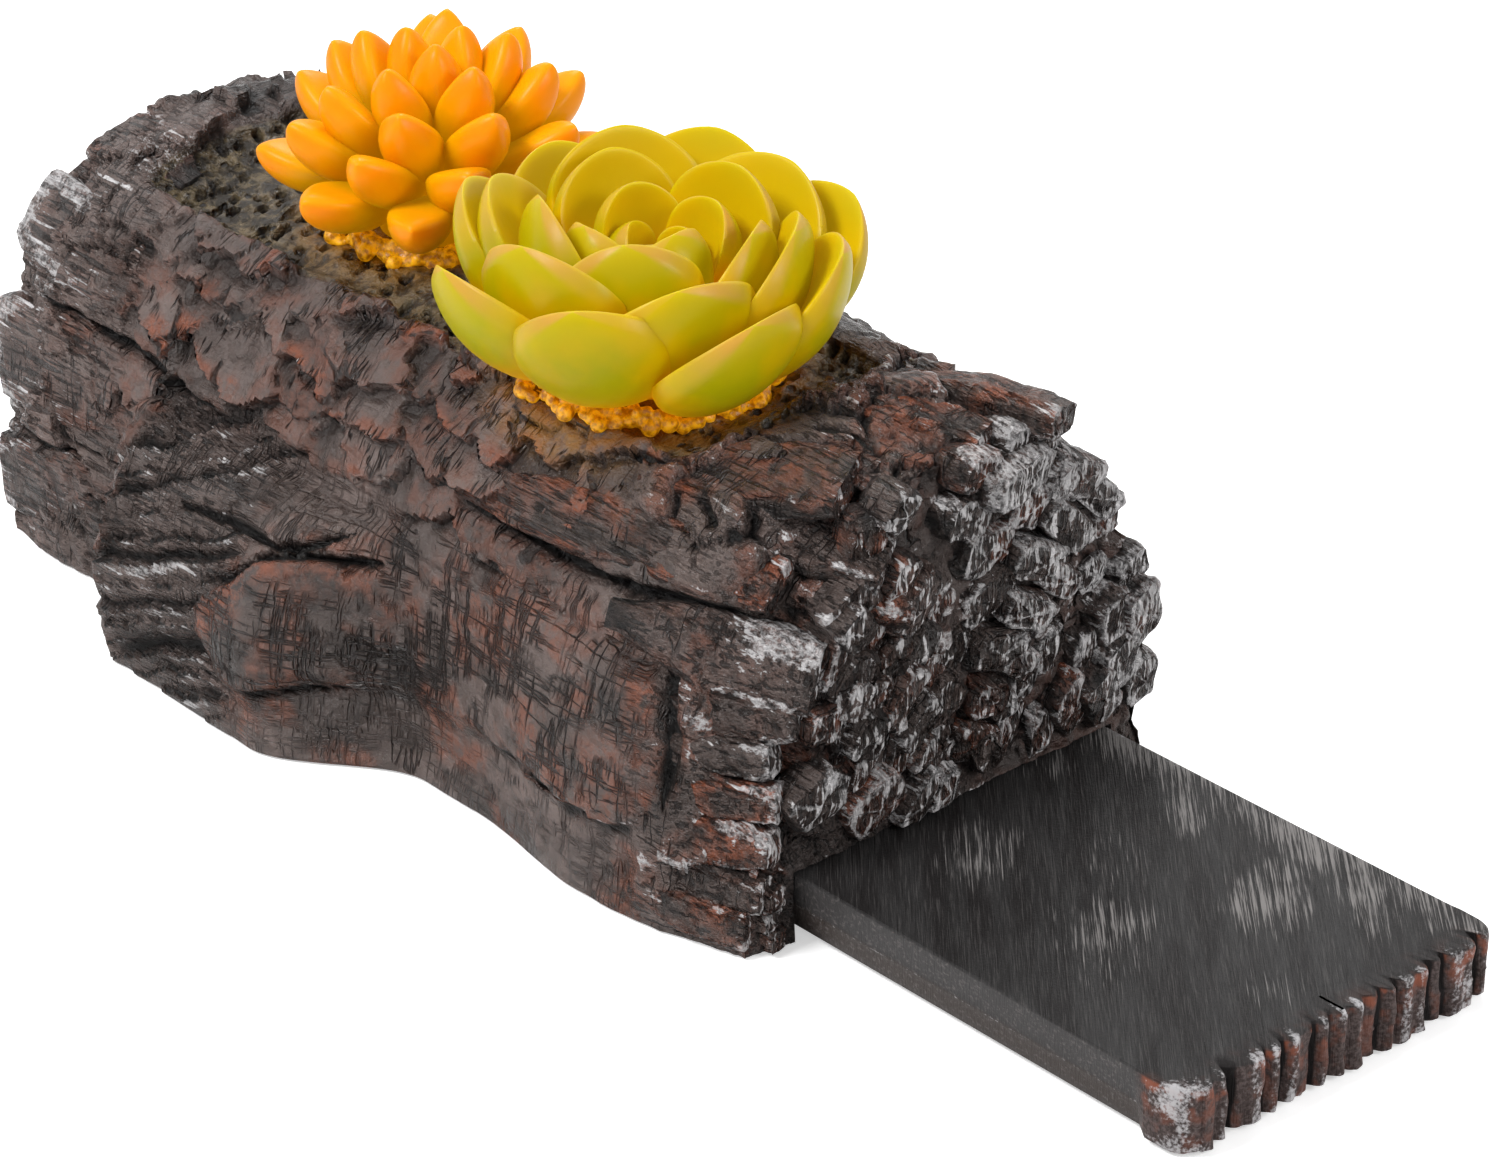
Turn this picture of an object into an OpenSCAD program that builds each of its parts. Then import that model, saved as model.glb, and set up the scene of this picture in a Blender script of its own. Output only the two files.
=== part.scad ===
// Tree stump key hider: a hollow cast log with two lit succulents, and a plank that slides out from under it.
// The origin is the middle of the log's base, +X is the way the plank slides out, +Z is up. Millimetres.

/* [Log] */
// Length of the log between its broken ends
log_len = 206; // [198:1:230]
// Width of the log at its base, without the branch
log_w = 98; // [96:1:112]
// Height of the bark above the ground
log_h = 80; // [77:1:96]
// Squareness of the section, where 2 is an ellipse
log_square = 2.6; // [2.4:0.1:3]
// Casting left beside the hollow, at the base
log_wall = 8.5; // [7.5:0.5:9]
// Casting left above the hollow
log_roof = 16; // [15:0.5:20]
// Casting left at each end of the hollow
log_end_wall = 13; // [12:0.5:16]
// Bark plates across the arch of the log
plate_count = 11; // [7:1:14]
// Depth of the furrows between the bark plates
furrow_depth = 1.4; // [0.5:0.1:3.5]
// How far the log's front left corner is broken off
corner_cut = 13; // [4:0.5:15]
// Broken blocks around the rim of the front end
rim_blocks = 18; // [12:1:20]
// Rows of broken blocks from the rim to the middle of the front end
block_rows = 7; // [4:1:8]
// How far the broken blocks stand in and out
block_jut = 1.9; // [0.5:0.1:2.2]

/* [Branch] */
// Reach of the sawn branch beyond the log's side
branch_reach = 18; // [10:1:26]
// Distance of the branch's sawn end behind the log's middle
branch_back = 52; // [40:1:62]
// Height of the branch's axis
branch_mid = 19; // [14:1:24]
// Height of the branch above its axis
branch_rise = 26; // [18:1:30]
// How far the branch's own plate of bark stands out
plate_rise = 2; // [0.5:0.1:3]

/* [Planting trough] */
// Depth of the trough along the top of the log
trough_depth = 5; // [3:0.5:6]
// Width of the trough
trough_w = 50; // [44:1:54]
// Depth of the round seat of each succulent below the trough's floor
seat_sink = 2; // [1:0.5:3]
// Radius of the green succulent's seat
green_seat_r = 23; // [21:0.5:24]
// Radius of the orange succulent's seat
orange_seat_r = 20; // [18:0.5:21]
// Air between each seat's rim and the frilled bead in it
bead_gap = 1.5; // [1:0.1:3]

/* [Green succulent] */
// Place of its middle along the log
green_x = 40; // [34:1:46]
// Place of its middle across the log
green_y = -11.5; // [-14:0.5:-6]
// Reach of the longest petals from its middle
green_reach = 40; // [32:1:41]
// Petals in the fullest row
green_petals = 8; // [6:1:9]
// How far the green succulent leans to the front left
green_lean = 6; // [0:0.5:7]

/* [Orange succulent] */
// Place of its middle along the log
orange_x = -31.5; // [-38:0.5:-31]
// Place of its middle across the log
orange_y = 0.5; // [-5:0.5:1]
// Reach of the lowest leaves from its middle
orange_reach = 31; // [26:1:32]
// Leaves in the fullest row
orange_leaves = 8; // [6:1:9]
// How far the orange succulent leans to the front left
orange_lean = 7; // [0:0.5:8]

/* [Plank] */
// Length of the plank
plank_len = 150; // [130:1:156]
// Width of the plank over its top edges
plank_w = 73.4; // [66:0.2:74]
// Thickness of the plank
plank_t = 12; // [10:0.5:13]
// Height of the ridge along each side above the underside
plank_ridge = 5.2; // [4:0.1:6]
// How far the ridge is set in from the top edge
plank_waist = 1.3; // [0.8:0.1:1.6]
// How far the bottom edge is set in from the top edge
plank_tuck = 2.2; // [1.8:0.1:3]
// Length of the straight, fluted end
fluted_len = 12; // [8:0.5:12]
// Flutes across the end
flute_count = 17; // [9:1:23]
// How far the plank is drawn out as shown
drawn_out = 90; // [0:1:110]
// Air between the plank and its runners
slide_gap = 0.4; // [0.3:0.05:0.6]
// Air between the plank's underside and the ground
plank_lift = 0.4; // [0.3:0.1:0.8]

/* [Key compartment] */
// Width of the compartment
keys_w = 56; // [40:1:58]
// Height of the compartment above the plank
keys_h = 32; // [18:1:34]
// Wall of the moulded frame
frame_wall = 2.4; // [2:0.1:3]
// Air around the moulded frame inside the log
frame_gap = 0.3; // [0.2:0.05:0.5]
// How far the frame's underside stands above the ground
frame_lift = 0.8; // [0.5:0.1:1.2]

/* [Power] */
// Diameter of the rechargeable cell
cell_d = 10.2; // [9.5:0.1:10.6]
// Length of the rechargeable cell
cell_len = 44.5; // [40:0.5:45]
// Air around the cell in its well
cell_gap = 0.5; // [0.4:0.1:0.8]
// Thickness of the cell door
door_t = 2.4; // [2:0.1:3]
// Thickness of the door's rubber seal
seal_t = 0.8; // [0.6:0.1:1.2]
// Length of the solar panel
panel_len = 56; // [44:1:58]
// Width of the solar panel up the slope
panel_w = 30; // [24:1:31]
// Thickness of the solar panel
panel_t = 2.4; // [1.8:0.1:2.6]
// Angle at which the solar panel looks up
panel_tilt = 40; // [36:1:44]
// Length of the circuit board, which stands upright
board_len = 20; // [17:1:22]
// Width of the circuit board across the log
board_w = 54; // [53:1:58]
// Thickness of the circuit board
board_t = 1.6; // [1:0.2:2]
// Travel of the switch
switch_travel = 2; // [1.5:0.1:2.5]

/* [Hidden] */
half = log_len / 2;
eps = 0.01;
stations = 28;
arc_steps = 3 * rim_blocks;
hollow_half = log_w / 2 - log_wall;
hollow_h = log_h - log_roof;
hollow_end = half - log_end_wall;
seat_z = log_h - trough_depth - seat_sink;
core_r = 11;
core_h = 16;
led_r = 2.5;
led_rim_r = 2.9;
led_len = 8.6;
led_gap = 0.15;
led_top = seat_z + 1;
led_foot = led_top - led_len;
pin_len = 3;
lead_r = 1;
wire_bend = 2;
plank_front = half + drawn_out;
plank_back = plank_front - plank_len;
ridge_z = plank_lift + plank_ridge;
plank_top = plank_lift + plank_t;
channel_top = plank_top + slide_gap;
channel_back = plank_back - drawn_out - 1;
deck_top = channel_top + frame_wall;
hollow_at_deck = hollow_half * pow(1 - pow(deck_top / hollow_h, log_square), 1 / log_square);
frame_half = hollow_at_deck - 2 * frame_gap;
frame_end = hollow_end - frame_gap;
keys_back = channel_back + 3;
keys_front = frame_end - 5;
keys_top = channel_top + keys_h;
mouth_half = plank_w / 2 + slide_gap + 0.2;
mouth_h = plank_top + slide_gap + 0.2;
seal_z = frame_lift + door_t;
well_z = seal_z + seal_t;
well_w = cell_d + 2 * cell_gap;
well_len = cell_len + 6;
well_top = well_z + cell_d + 2 * cell_gap;
cell_z = well_z + cell_gap + cell_d / 2;
door_w = well_w + 8;
door_len = well_len + 16;
door_rim = 1.5;
door_gap = 0.2;
cell_x = -frame_end + door_rim + door_w / 2;
cell_y = -2;
door_y = cell_y + 3.5;
screw_y = door_y + door_len / 2 - 4.5;
board_stand = 2;
board_front = keys_back - frame_wall - board_stand;
board_back = board_front - board_t;
board_foot = well_top + frame_wall + 0.3;
board_top = board_foot + board_len;
switch_w = 4.8;
switch_len = 9.8;
switch_gap = 0.2;
switch_x = cell_x;
switch_y = door_y - door_len / 2 - door_gap - door_rim - switch_w / 2;
switch_floor = frame_lift + 2.4;
panel_x = -40;
panel_edge = 1.8;
panel_face = 0.79 * log_h;
panel_shift = panel_w / 2
    + (orange_y + orange_seat_r + panel_edge - panel_face * cos(panel_tilt)) / sin(panel_tilt);
panel_lead_x = board_front - board_t / 2;

function smooth(v) = let (c = min(1, max(0, v))) c * c * (3 - 2 * c);
function signed_pow(v, e) = sign(v) * pow(abs(v), e);
function arch(t, hw, h, n) = [hw * signed_pow(cos(t), 2 / n), h * pow(max(0, sin(t)), 2 / n)];

// The bark. Each section is an arch that swells a little along the log, with plates between long furrows.
function front_ease(x) = smooth((x - half + 18) / 18);
function rear_ease(x) = smooth((-x - half + 14) / 14);
function square_at(x, t) = log_square + (t > 90 ? 0.7 : 0.4 * smooth((-x - 0.2 * half) / (0.6 * half)));
function swell(x) = 1 + 0.02 * sin(2.4 * x + 40);
function foot_fade(t) = smooth(min(t, 180 - t) / 14);
function furrow(x, t) =
    furrow_depth * foot_fade(t) * (abs(sin(plate_count * (t + 4 * sin(2.6 * x)))) - 1
        + 0.5 * abs(sin(3.4 * x + 6 * t)) - 0.5);
function broken_corner(x, t) = t > 90 ? corner_cut * front_ease(x) * smooth((t - 96) / 20) * foot_fade(t) : 0;
function trough(x, y) =
    trough_depth * smooth((trough_w / 2 - abs(y + 7)) / 7) * smooth((x + half - 16) / 12)
        * smooth((half - 26 - x) / 14);

// The branch lies along the left side, from its sawn end at the back to the front foot.
function branch_run(x) =
    x < -branch_back ? 0 : branch_reach * (smooth((22 - x) / 30) + 0.33 * smooth(1 - abs(x - 72) / 36));
function branch_side(z) =
    z < branch_mid ? 0.9 + 0.1 * z / branch_mid : sqrt(max(0, 1 - pow((z - branch_mid) / branch_rise, 2)));

// The branch's own plate of bark, seen from the left: shares of the log's half length, then of its height
plate_outline = [
    [-0.22, 0.24], [-0.18, 0.33], [-0.13, 0.38], [-0.08, 0.45], [0.01, 0.475], [0.07, 0.475], [0.18, 0.505],
    [0.33, 0.54], [0.49, 0.59], [0.64, 0.63], [0.73, 0.65], [0.79, 0.575], [0.82, 0.5], [0.835, 0.39], [0.835, 0.25],
    [0.75, 0.19], [0.56, 0.19], [0.43, 0.19], [0.24, 0.15], [0.13, 0.175], [0.03, 0.16], [-0.06, 0.1],
    [-0.14, 0.1], [-0.19, 0.16]
];
plate_pts = [for (p = plate_outline) [p[0] * half, p[1] * log_h]];
function edge_far(p, a, b) =
    let (w = b - a, u = min(1, max(0, (p - a) * w / (w * w)))) norm(p - a - u * w);
function edge_crossed(p, a, b) =
    (a[1] > p[1]) != (b[1] > p[1]) && p[0] < a[0] + (p[1] - a[1]) / (b[1] - a[1]) * (b[0] - a[0]);
function inside_by(p, o) =
    let (
        n = len(o),
        far = min([for (i = [0 : n - 1]) edge_far(p, o[i], o[(i + 1) % n])]),
        crossed = len([for (i = [0 : n - 1]) if (edge_crossed(p, o[i], o[(i + 1) % n])) i])
    )
    crossed % 2 == 1 ? far : -far;
function plate(x, t, z) =
    smooth((t - 88) / 14) * smooth((x + branch_back + 1) / 4) * smooth((half - 19 - x) / 6)
        * smooth((0.65 * log_h - z) / 8) * plate_rise * (smooth((inside_by([x, z], plate_pts) + 1.5) / 3) - 0.6);

// Slabs of bark that peel off towards the ends: their rear and front distance in from the end, the angle that
// they lie at, half the angle that they take up, how far they stand out, and how far they reach past the end.
front_slabs = [
    [28, 0, 82, 5, 2, 1], [28, 0, 61, 8, 3, 4], [21, 0, 47, 6, 2, 2.5], [42, 7, 108, 8, 2.5, 0],
    [30, 0, 119, 5, 2, 1], [22, 0, 129, 4, 2.5, 2.5], [84, 24, 134, 6, 2, 0], [32, 0, 141, 5, 3, 1],
    [21, 0, 151, 4, 2.5, -2.5], [19, 0, 159, 3, 2, -1], [17, 0, 166, 3, 2.5, -2], [15, 0, 173, 3, 2, 0]
];
rear_slabs = [
    [45, 0, 126, 8, 2.5, 2], [43, 0, 148, 9, 2.5, 2.5], [39, 0, 168, 7, 2.5, 1.5], [27, 2, 113, 6, 2.5, 0]
];
function slab_side(s, t) = smooth((s[3] - abs(t - s[2])) / 2.4 + 0.5);
function slab_out(s, t, in) = slab_side(s, t) * s[4] * min(1, max(0, s[0] - in) / 18) * (in < s[1] ? 0 : 1);
function slab_rise(x, t) =
    max([for (s = x > 0 ? front_slabs : rear_slabs) slab_out(s, t, half - abs(x))]) * foot_fade(t);

function bark(x, t) =
    let (
        small = 1 - 0.02 * front_ease(x) - 0.05 * rear_ease(x),
        p = arch(t, log_w / 2 * swell(x), log_h, square_at(x, t)) * small,
        d = furrow(x, t) - broken_corner(x, t) + slab_rise(x, t),
        y = p[0] + d * cos(t),
        z = max(0, p[1] + d * sin(t)),
        out = t > 90 ? branch_run(x) * branch_side(z) + plate(x, t, z) : 0
    )
    [x, y - out, z - trough(x, y)];

// The rear end is a stack of strata, level at the ground.
function end_jag(y, z) = smooth(z / 10) * (1.5 * sin(17 * z + 5 * y) + 1.2 * sin(13 * y - 7 * z));
function rear_ring(s) =
    [for (i = [0 : arc_steps])
        let (p = bark(-half, 180 * i / arc_steps), y = p[1] * s, z = p[2] * s)
        [-half - 1.5 * (1 - s) - end_jag(y, z), y, z]];

// The front end is a mosaic of broken blocks. A block takes up a few points of its row's two rings, and the step
// to the next block is narrow. The blocks of the rim follow the slabs that end there. It is level at the ground.
function block_span(k) = k < 4 ? 3 : 6;
function block_place(k, i) = let (m = (i + k) % block_span(k)) m == 0 ? -0.38 : m == block_span(k) - 1 ? 0.38 : 0;
function block_angle(k, i) = 180 / arc_steps * (i + (i == 0 || i == arc_steps ? 0 : block_place(k, i)));
function block_tip(k, i) =
    let (b = floor((i + k) / block_span(k))) block_jut * (0.35 + 0.7 * sin(97 * b + 53 * k) + 0.4 * sin(61 * b + 29 * k));
function rim_reach(t) = max([for (s = front_slabs) s[1] == 0 ? slab_side(s, t) * s[5] : 0]);
function row_edge(k) = 1 - 0.8 * k / block_rows;
function front_ring(k, s) =
    [for (i = [0 : arc_steps])
        let (t = block_angle(k, i), p = bark(half, t), y = p[1] * s, z = p[2] * s)
        [half + 1.5 * (1 - s) + smooth(z / 10) * (block_tip(k, i) + (k == 0 ? rim_reach(t) : 0)), y, z]];

cut_i = round((half - branch_back) / log_len * stations);
station_xs = [
    for (i = [0 : stations - 1])
        each i == cut_i ? [-branch_back - 0.4, -branch_back + 0.4] : [-half + log_len * i / stations],
    half - 3.5
];

log_rings = concat(
    [for (s = [0.25, 0.45, 0.62, 0.78, 0.92]) rear_ring(s)],
    [for (x = station_xs) [for (i = [0 : arc_steps]) bark(x, 180 * i / arc_steps)]],
    [for (k = [0 : block_rows - 1])
        each [front_ring(k, row_edge(k) - (k > 0 ? 0.012 : 0)), front_ring(k, row_edge(k + 1) + 0.012)]]
);

// A skin over a row of rings with the same number of points, closed by a fan at each end.
module skin(rings, first_tip, last_tip) {
    n = len(rings[0]);
    m = len(rings);
    pts = concat([for (r = rings) each r], [first_tip, last_tip]);
    faces = concat(
        [for (i = [0 : m - 2], j = [0 : n - 1])
            each let (a = i * n + j, b = i * n + (j + 1) % n, c = b + n, d = a + n) [[a, c, b], [a, d, c]]],
        [for (j = [0 : n - 1]) [m * n, j, (j + 1) % n]],
        [for (j = [0 : n - 1]) [m * n + 1, (m - 1) * n + (j + 1) % n, (m - 1) * n + j]]
    );
    polyhedron(pts, faces);
}

module along_x(from, to) {
    translate([from, 0, 0]) rotate([90, 0, 90]) linear_extrude(to - from) children();
}

// The log's hollow, or what fits in it with air all round.
module hollow(air) {
    steps = 18;
    w = hollow_half - air;
    along_x(air - hollow_end, hollow_end - air)
        polygon(concat(
            [[w, -1]],
            [for (i = [0 : steps]) arch(180 * i / steps, w, hollow_h - air, log_square)],
            [[-w, -1]]
        ));
}

module at_panel() {
    translate([panel_x, 0, 0])
        rotate([panel_tilt - 90, 0, 0])
            translate([0, panel_shift, panel_face]) children();
}

module box(size) {
    translate([-size[0] / 2, -size[1] / 2, 0]) cube(size);
}

module seat(x, y, r) {
    translate([x, y, seat_z]) cylinder(r = r, h = 40, $fn = 12);
    translate([x, y, led_foot + 1]) cylinder(r = led_r + led_gap + 0.1, h = led_len, $fn = 12);
    translate([x, y, hollow_h - 8])
        cylinder(r = led_rim_r + led_gap + 0.1, h = led_foot + 1 - hollow_h + 8, $fn = 12);
}

module log_shell() {
    color([0.30, 0.24, 0.20])
    difference() {
        skin(log_rings, [-half - 1.5, 0, 0], [half + 1.5, 0, 0]);
        translate([-half - 20, -log_w, -20]) cube([log_len + 40, 2 * log_w, 20]);
        hollow(0);
        along_x(hollow_end - 1, half + 10) translate([-mouth_half, -1]) square([2 * mouth_half, mouth_h + 1]);
        seat(green_x, green_y, green_seat_r);
        seat(orange_x, orange_y, orange_seat_r);
        at_panel() {
            translate([0, 0, -panel_t]) box([panel_len + 0.6, panel_w + 0.6, panel_t + 30]);
        }
        at_panel() translate([panel_lead_x - panel_x, 0, -20]) cylinder(r = lead_r + 0.8, h = 24, $fn = 8);
    }
}

// The runners: the plank's own outline with air all round, open underneath.
module channel_outline(air) {
    w = plank_w / 2 + air;
    polygon([
        [-w + plank_tuck, -1], [w - plank_tuck, -1], [w - plank_tuck, plank_lift],
        [w - plank_waist, ridge_z], [w, plank_top], [w, plank_top + air],
        [-w, plank_top + air], [-w, plank_top], [-w + plank_waist, ridge_z], [-w + plank_tuck, plank_lift]
    ]);
}

// The moulded frame before its cuts: a deck, the key compartment, the cell's well and the board's ribs.
module frame_block() {
    translate([-frame_end - 1, -frame_half, frame_lift])
        cube([2 * frame_end + 2, 2 * frame_half, deck_top - frame_lift]);
    translate([keys_back - frame_wall, -keys_w / 2 - frame_wall, deck_top - 1])
        cube([
            keys_front - keys_back + 2 * frame_wall,
            keys_w + 2 * frame_wall,
            keys_top + frame_wall - deck_top + 1
        ]);
    translate([cell_x, cell_y, deck_top - 1])
        box([
            well_w + 2 * frame_wall,
            well_len + 2 * frame_wall,
            well_top + frame_wall - deck_top + 1
        ]);
    for (side = [-1, 1])
        translate([board_front, side * (board_w / 2 - 3) - 2, deck_top - 1])
            cube([board_stand + 1, 4, board_top - deck_top - 2]);
}
module base_frame() {
    color([0.13, 0.12, 0.11])
    difference() {
        intersection() {
            hollow(frame_gap);
            frame_block();
        }
        along_x(channel_back, frame_end + 1) channel_outline(slide_gap);
        intersection() {
            hollow(frame_gap + frame_wall);
            translate([keys_back, -keys_w / 2, channel_top - 1])
                cube([keys_front - keys_back, keys_w, keys_top - channel_top + 1]);
        }
        translate([cell_x, cell_y, 0]) box([well_w, well_len, well_top]);
        translate([cell_x, door_y, frame_lift - 1])
            box([door_w + 2 * door_gap, door_len + 2 * door_gap, well_z - frame_lift + 1]);
        translate([cell_x, screw_y, well_z - 1]) cylinder(r = 1, h = 7, $fn = 12);
        translate([switch_x, switch_y, switch_floor])
            box([switch_len + 2 * switch_gap, switch_w + 2 * switch_gap, deck_top - switch_floor + 1]);
        translate([switch_x, switch_y, frame_lift - 1]) box([2.6 + switch_travel + 0.4, 2.6, 6]);
        translate([switch_x, switch_y, frame_lift - 1]) box([8, switch_w - 0.4, 2]);
        for (side = [-1, 1])
            translate([cell_x, cell_y + side * (well_len / 2 - 1.5), well_top - 1])
                box([4, 2, frame_wall + 2]);
    }
}

// The plank: a board that narrows downwards past a ridge, with a straight, fluted end.
function flute_in(i) = 1.1 + 0.9 * sin(137.5 * i) + (i % 3 == 1 ? 1.4 : 0);
module fluted_outline() {
    w = plank_w / 2;
    step = (plank_w - 8) / flute_count;
    polygon(concat(
        [[plank_front - fluted_len, -w], [plank_front - 6, -w], [plank_front - 2.2, -w + 1.4]],
        [for (i = [0 : flute_count - 1])
            each let (y = -w + 4 + step * i)
            [[plank_front - (i % 4 == 2 ? 0.8 : 0), y + 0.15 * step],
             [plank_front - (i % 4 == 2 ? 0.8 : 0), y + 0.6 * step],
             [plank_front - flute_in(i), y + 0.8 * step]]],
        [[plank_front - 2.2, w - 1.4], [plank_front - 6, w], [plank_front - fluted_len, w]]
    ));
}
module key_plank() {
    color([0.2, 0.19, 0.18])
    union() {
        along_x(plank_back, plank_front - fluted_len + 1)
            polygon([
                [-plank_w / 2 + plank_tuck, plank_lift], [plank_w / 2 - plank_tuck, plank_lift],
                [plank_w / 2 - plank_waist, ridge_z], [plank_w / 2, plank_top],
                [-plank_w / 2, plank_top], [-plank_w / 2 + plank_waist, ridge_z]
            ]);
        translate([0, 0, plank_lift]) linear_extrude(plank_t) fluted_outline();
    }
}

// Leans its children to the front left, about a point a little above the seat.
module leaning(angle) {
    translate([0, 0, 9]) rotate(a = angle, v = [0.67, 0.742, 0]) translate([0, 0, -9]) children();
}

module leaf_ball(size) {
    scale(size) sphere(d = 1, $fn = 8);
}

// A broad, plump petal whose back bulges below the line from its root to its raised tip.
module petal(length, wide, thick, curl) {
    hull() {
        leaf_ball([0.3 * length, 0.4 * wide, 0.7 * thick]);
        translate([0.58 * length, 0, -0.1 * length]) leaf_ball([0.55 * length, wide, thick]);
        translate([0.9 * length, 0, length * tan(curl) * 0.5])
            leaf_ball([0.2 * length, 0.46 * wide, 0.5 * thick]);
    }
}

module bean_leaf(length, thick) {
    hull() {
        leaf_ball([0.3 * length, 0.55 * thick, 0.55 * thick]);
        translate([0.6 * length, 0, 0]) leaf_ball([0.5 * length, thick, 0.9 * thick]);
        translate([0.88 * length, 0, 0]) leaf_ball([0.26 * length, 0.6 * thick, 0.55 * thick]);
    }
}

// A short stem with a pocket over its LED.
module stem(height) {
    difference() {
        cylinder(r = core_r, h = height, $fn = 24);
        translate([0, 0, -1]) cylinder(r = led_r + 1.2, h = 10, $fn = 16);
    }
}

module green_rosette() {
    size = green_reach / 37;
    color([0.62, 0.70, 0.24])
    translate([green_x, green_y, seat_z])
    union() {
        stem(core_h);
        for (row = [0 : 5], k = [0 : 8])
            let (
                count = row == 0 ? green_petals - 2 : max(3, round(green_petals - 1.3 * (row - 1))),
                turn = 360 * k / count + 23 * row + 4 * sin(97 * k + 40 * row),
                tilt = (row == 0 ? 13 : 10 + 15.5 * row) + 3 * sin(61 * k + 80 * row),
                length = size * (row == 0 ? 25 : 33.5 - 2.4 * row),
                wide = size * (row == 0 ? 21 : 29 - 3.6 * row)
            )
            if (k < count)
                leaning(green_lean) rotate([0, 0, turn])
                    translate([max(1.5, 11 - 1.9 * row), 0, 9 + 1.1 * row])
                        rotate([0, -tilt, 0]) petal(length, wide, size * (7 - 0.5 * row), 22);
    }
}

module orange_rosette() {
    size = orange_reach / 31;
    color([0.90, 0.45, 0.12])
    translate([orange_x, orange_y, seat_z])
    union() {
        stem(core_h);
        for (row = [0 : 4], k = [0 : 8])
            let (
                count = max(2, round(orange_leaves - 0.35 * row * row)),
                turn = 360 * k / count + 21 * row + 4 * sin(83 * k + 50 * row),
                tilt = 7 + 17 * row + 3 * sin(71 * k + 60 * row)
            )
            if (k < count)
                leaning(orange_lean) rotate([0, 0, turn])
                    translate([max(1.5, 9 - 1.8 * row), 0, 9 + 1.6 * row])
                        rotate([0, -tilt, 0])
                            bean_leaf(size * (23 + 0.2 * row), size * (11.5 - 0.4 * row));
    }
}

// The amber bead of casting resin that holds each succulent in its seat, frilled at its edge.
module glow_bead(r) {
    steps = 60;
    translate([0, 0, seat_z]) difference() {
        union() {
            linear_extrude(1.8)
                polygon([for (i = [0 : steps - 1]) (r + 0.7 * sin(66 * i)) * [cos(6 * i), sin(6 * i)]]);
            linear_extrude(3.4)
                polygon([for (i = [0 : steps - 1]) (r - 2.6 + 0.8 * sin(78 * i)) * [cos(6 * i), sin(6 * i)]]);
        }
        translate([0, 0, -1]) cylinder(r = core_r + 0.05, h = 6, $fn = 24);
    }
}
module green_glow_bead() {
    color([0.86, 0.52, 0.16]) translate([green_x, green_y, 0]) glow_bead(green_seat_r - bead_gap);
}
module orange_glow_bead() {
    color([0.86, 0.52, 0.16]) translate([orange_x, orange_y, 0]) glow_bead(orange_seat_r - bead_gap);
}

module led() {
    cylinder(r = led_rim_r, h = 1);
    cylinder(r = led_r, h = led_len - led_r);
    translate([0, 0, led_len - led_r]) sphere(r = led_r);
    for (side = [-1, 1]) translate([side * 0.6, 0, -pin_len]) cylinder(r = 0.25, h = pin_len + 0.5);
}
module green_led() {
    color([0.95, 0.90, 0.70]) translate([green_x, green_y, led_foot]) led();
}
module orange_led() {
    color([0.95, 0.90, 0.70]) translate([orange_x, orange_y, led_foot]) led();
}

// A wire: a six-sided tube along a route in one plane, with its corners rounded off.
function unit(v) = v / norm(v);
function eased(route, r) = [
    for (i = [0 : len(route) - 1])
        each i == 0 || i == len(route) - 1 ? [route[i]]
            : let (
                p = route[i],
                before = route[i - 1] - p,
                after = route[i + 1] - p,
                bend = min(r, 0.4 * norm(before), 0.4 * norm(after)),
                a = p + bend * unit(before),
                b = p + bend * unit(after)
              )
              [for (k = [0 : 3]) let (u = k / 3) (1 - u) * (1 - u) * a + 2 * u * (1 - u) * p + u * u * b]
];
module wire(route, side) {
    path = eased(route, wire_bend);
    n = len(path);
    rings = [for (i = [0 : n - 1])
        let (
            along = unit(path[min(n - 1, i + 1)] - path[max(0, i - 1)]),
            up = cross(along, side)
        )
        [for (k = [0 : 5]) path[i] + lead_r * (cos(60 * k) * side + sin(60 * k) * up)]];
    skin(rings, path[0], path[n - 1]);
}
lead_start = led_foot - pin_len;
lead_run = lead_start - 4.5;
lead_drop = board_back - 5;
lead_pad = board_top - 5;
module led_lead(x, y) {
    wire([[x, y, lead_start], [x, y, lead_run], [lead_drop, y, lead_run], [lead_drop, y, lead_pad],
        [board_back, y, lead_pad]], [0, 1, 0]);
}
module green_led_lead() {
    color([0.75, 0.12, 0.10]) led_lead(green_x, green_y);
}
module orange_led_lead() {
    color([0.75, 0.12, 0.10]) led_lead(orange_x, orange_y);
}

module solar_panel() {
    color([0.06, 0.08, 0.16])
    at_panel() translate([0, 0, -panel_t]) {
        box([panel_len, panel_w, panel_t]);
    }
}
panel_back_r = panel_face - panel_t;
panel_joint = [
    panel_lead_x,
    panel_shift * sin(panel_tilt) + panel_back_r * cos(panel_tilt),
    -panel_shift * cos(panel_tilt) + panel_back_r * sin(panel_tilt)
];
panel_in = [0, -cos(panel_tilt), -sin(panel_tilt)];
module panel_lead() {
    far = panel_joint + 12 * panel_in;
    pad_y = 10;
    color([0.10, 0.10, 0.11])
    wire([panel_joint, far, [panel_lead_x, pad_y, (far[2] + board_top) / 2],
        [panel_lead_x, pad_y, board_top]], [1, 0, 0]);
}

module circuit_board() {
    color([0.08, 0.30, 0.16])
    translate([board_back, -board_w / 2, board_foot]) cube([board_t, board_w, board_len]);
}
module board_parts() {
    color([0.12, 0.12, 0.13])
    translate([board_back, 0, board_foot]) {
        translate([-1.6, 6, 7]) cube([1.6, 5, 4]);
        translate([-4, -7, 8]) rotate([0, 90, 0]) cylinder(d = 5, h = 4);
        translate([-1.2, -18, 13]) cube([1.2, 3.2, 1.6]);
    }
}

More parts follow.
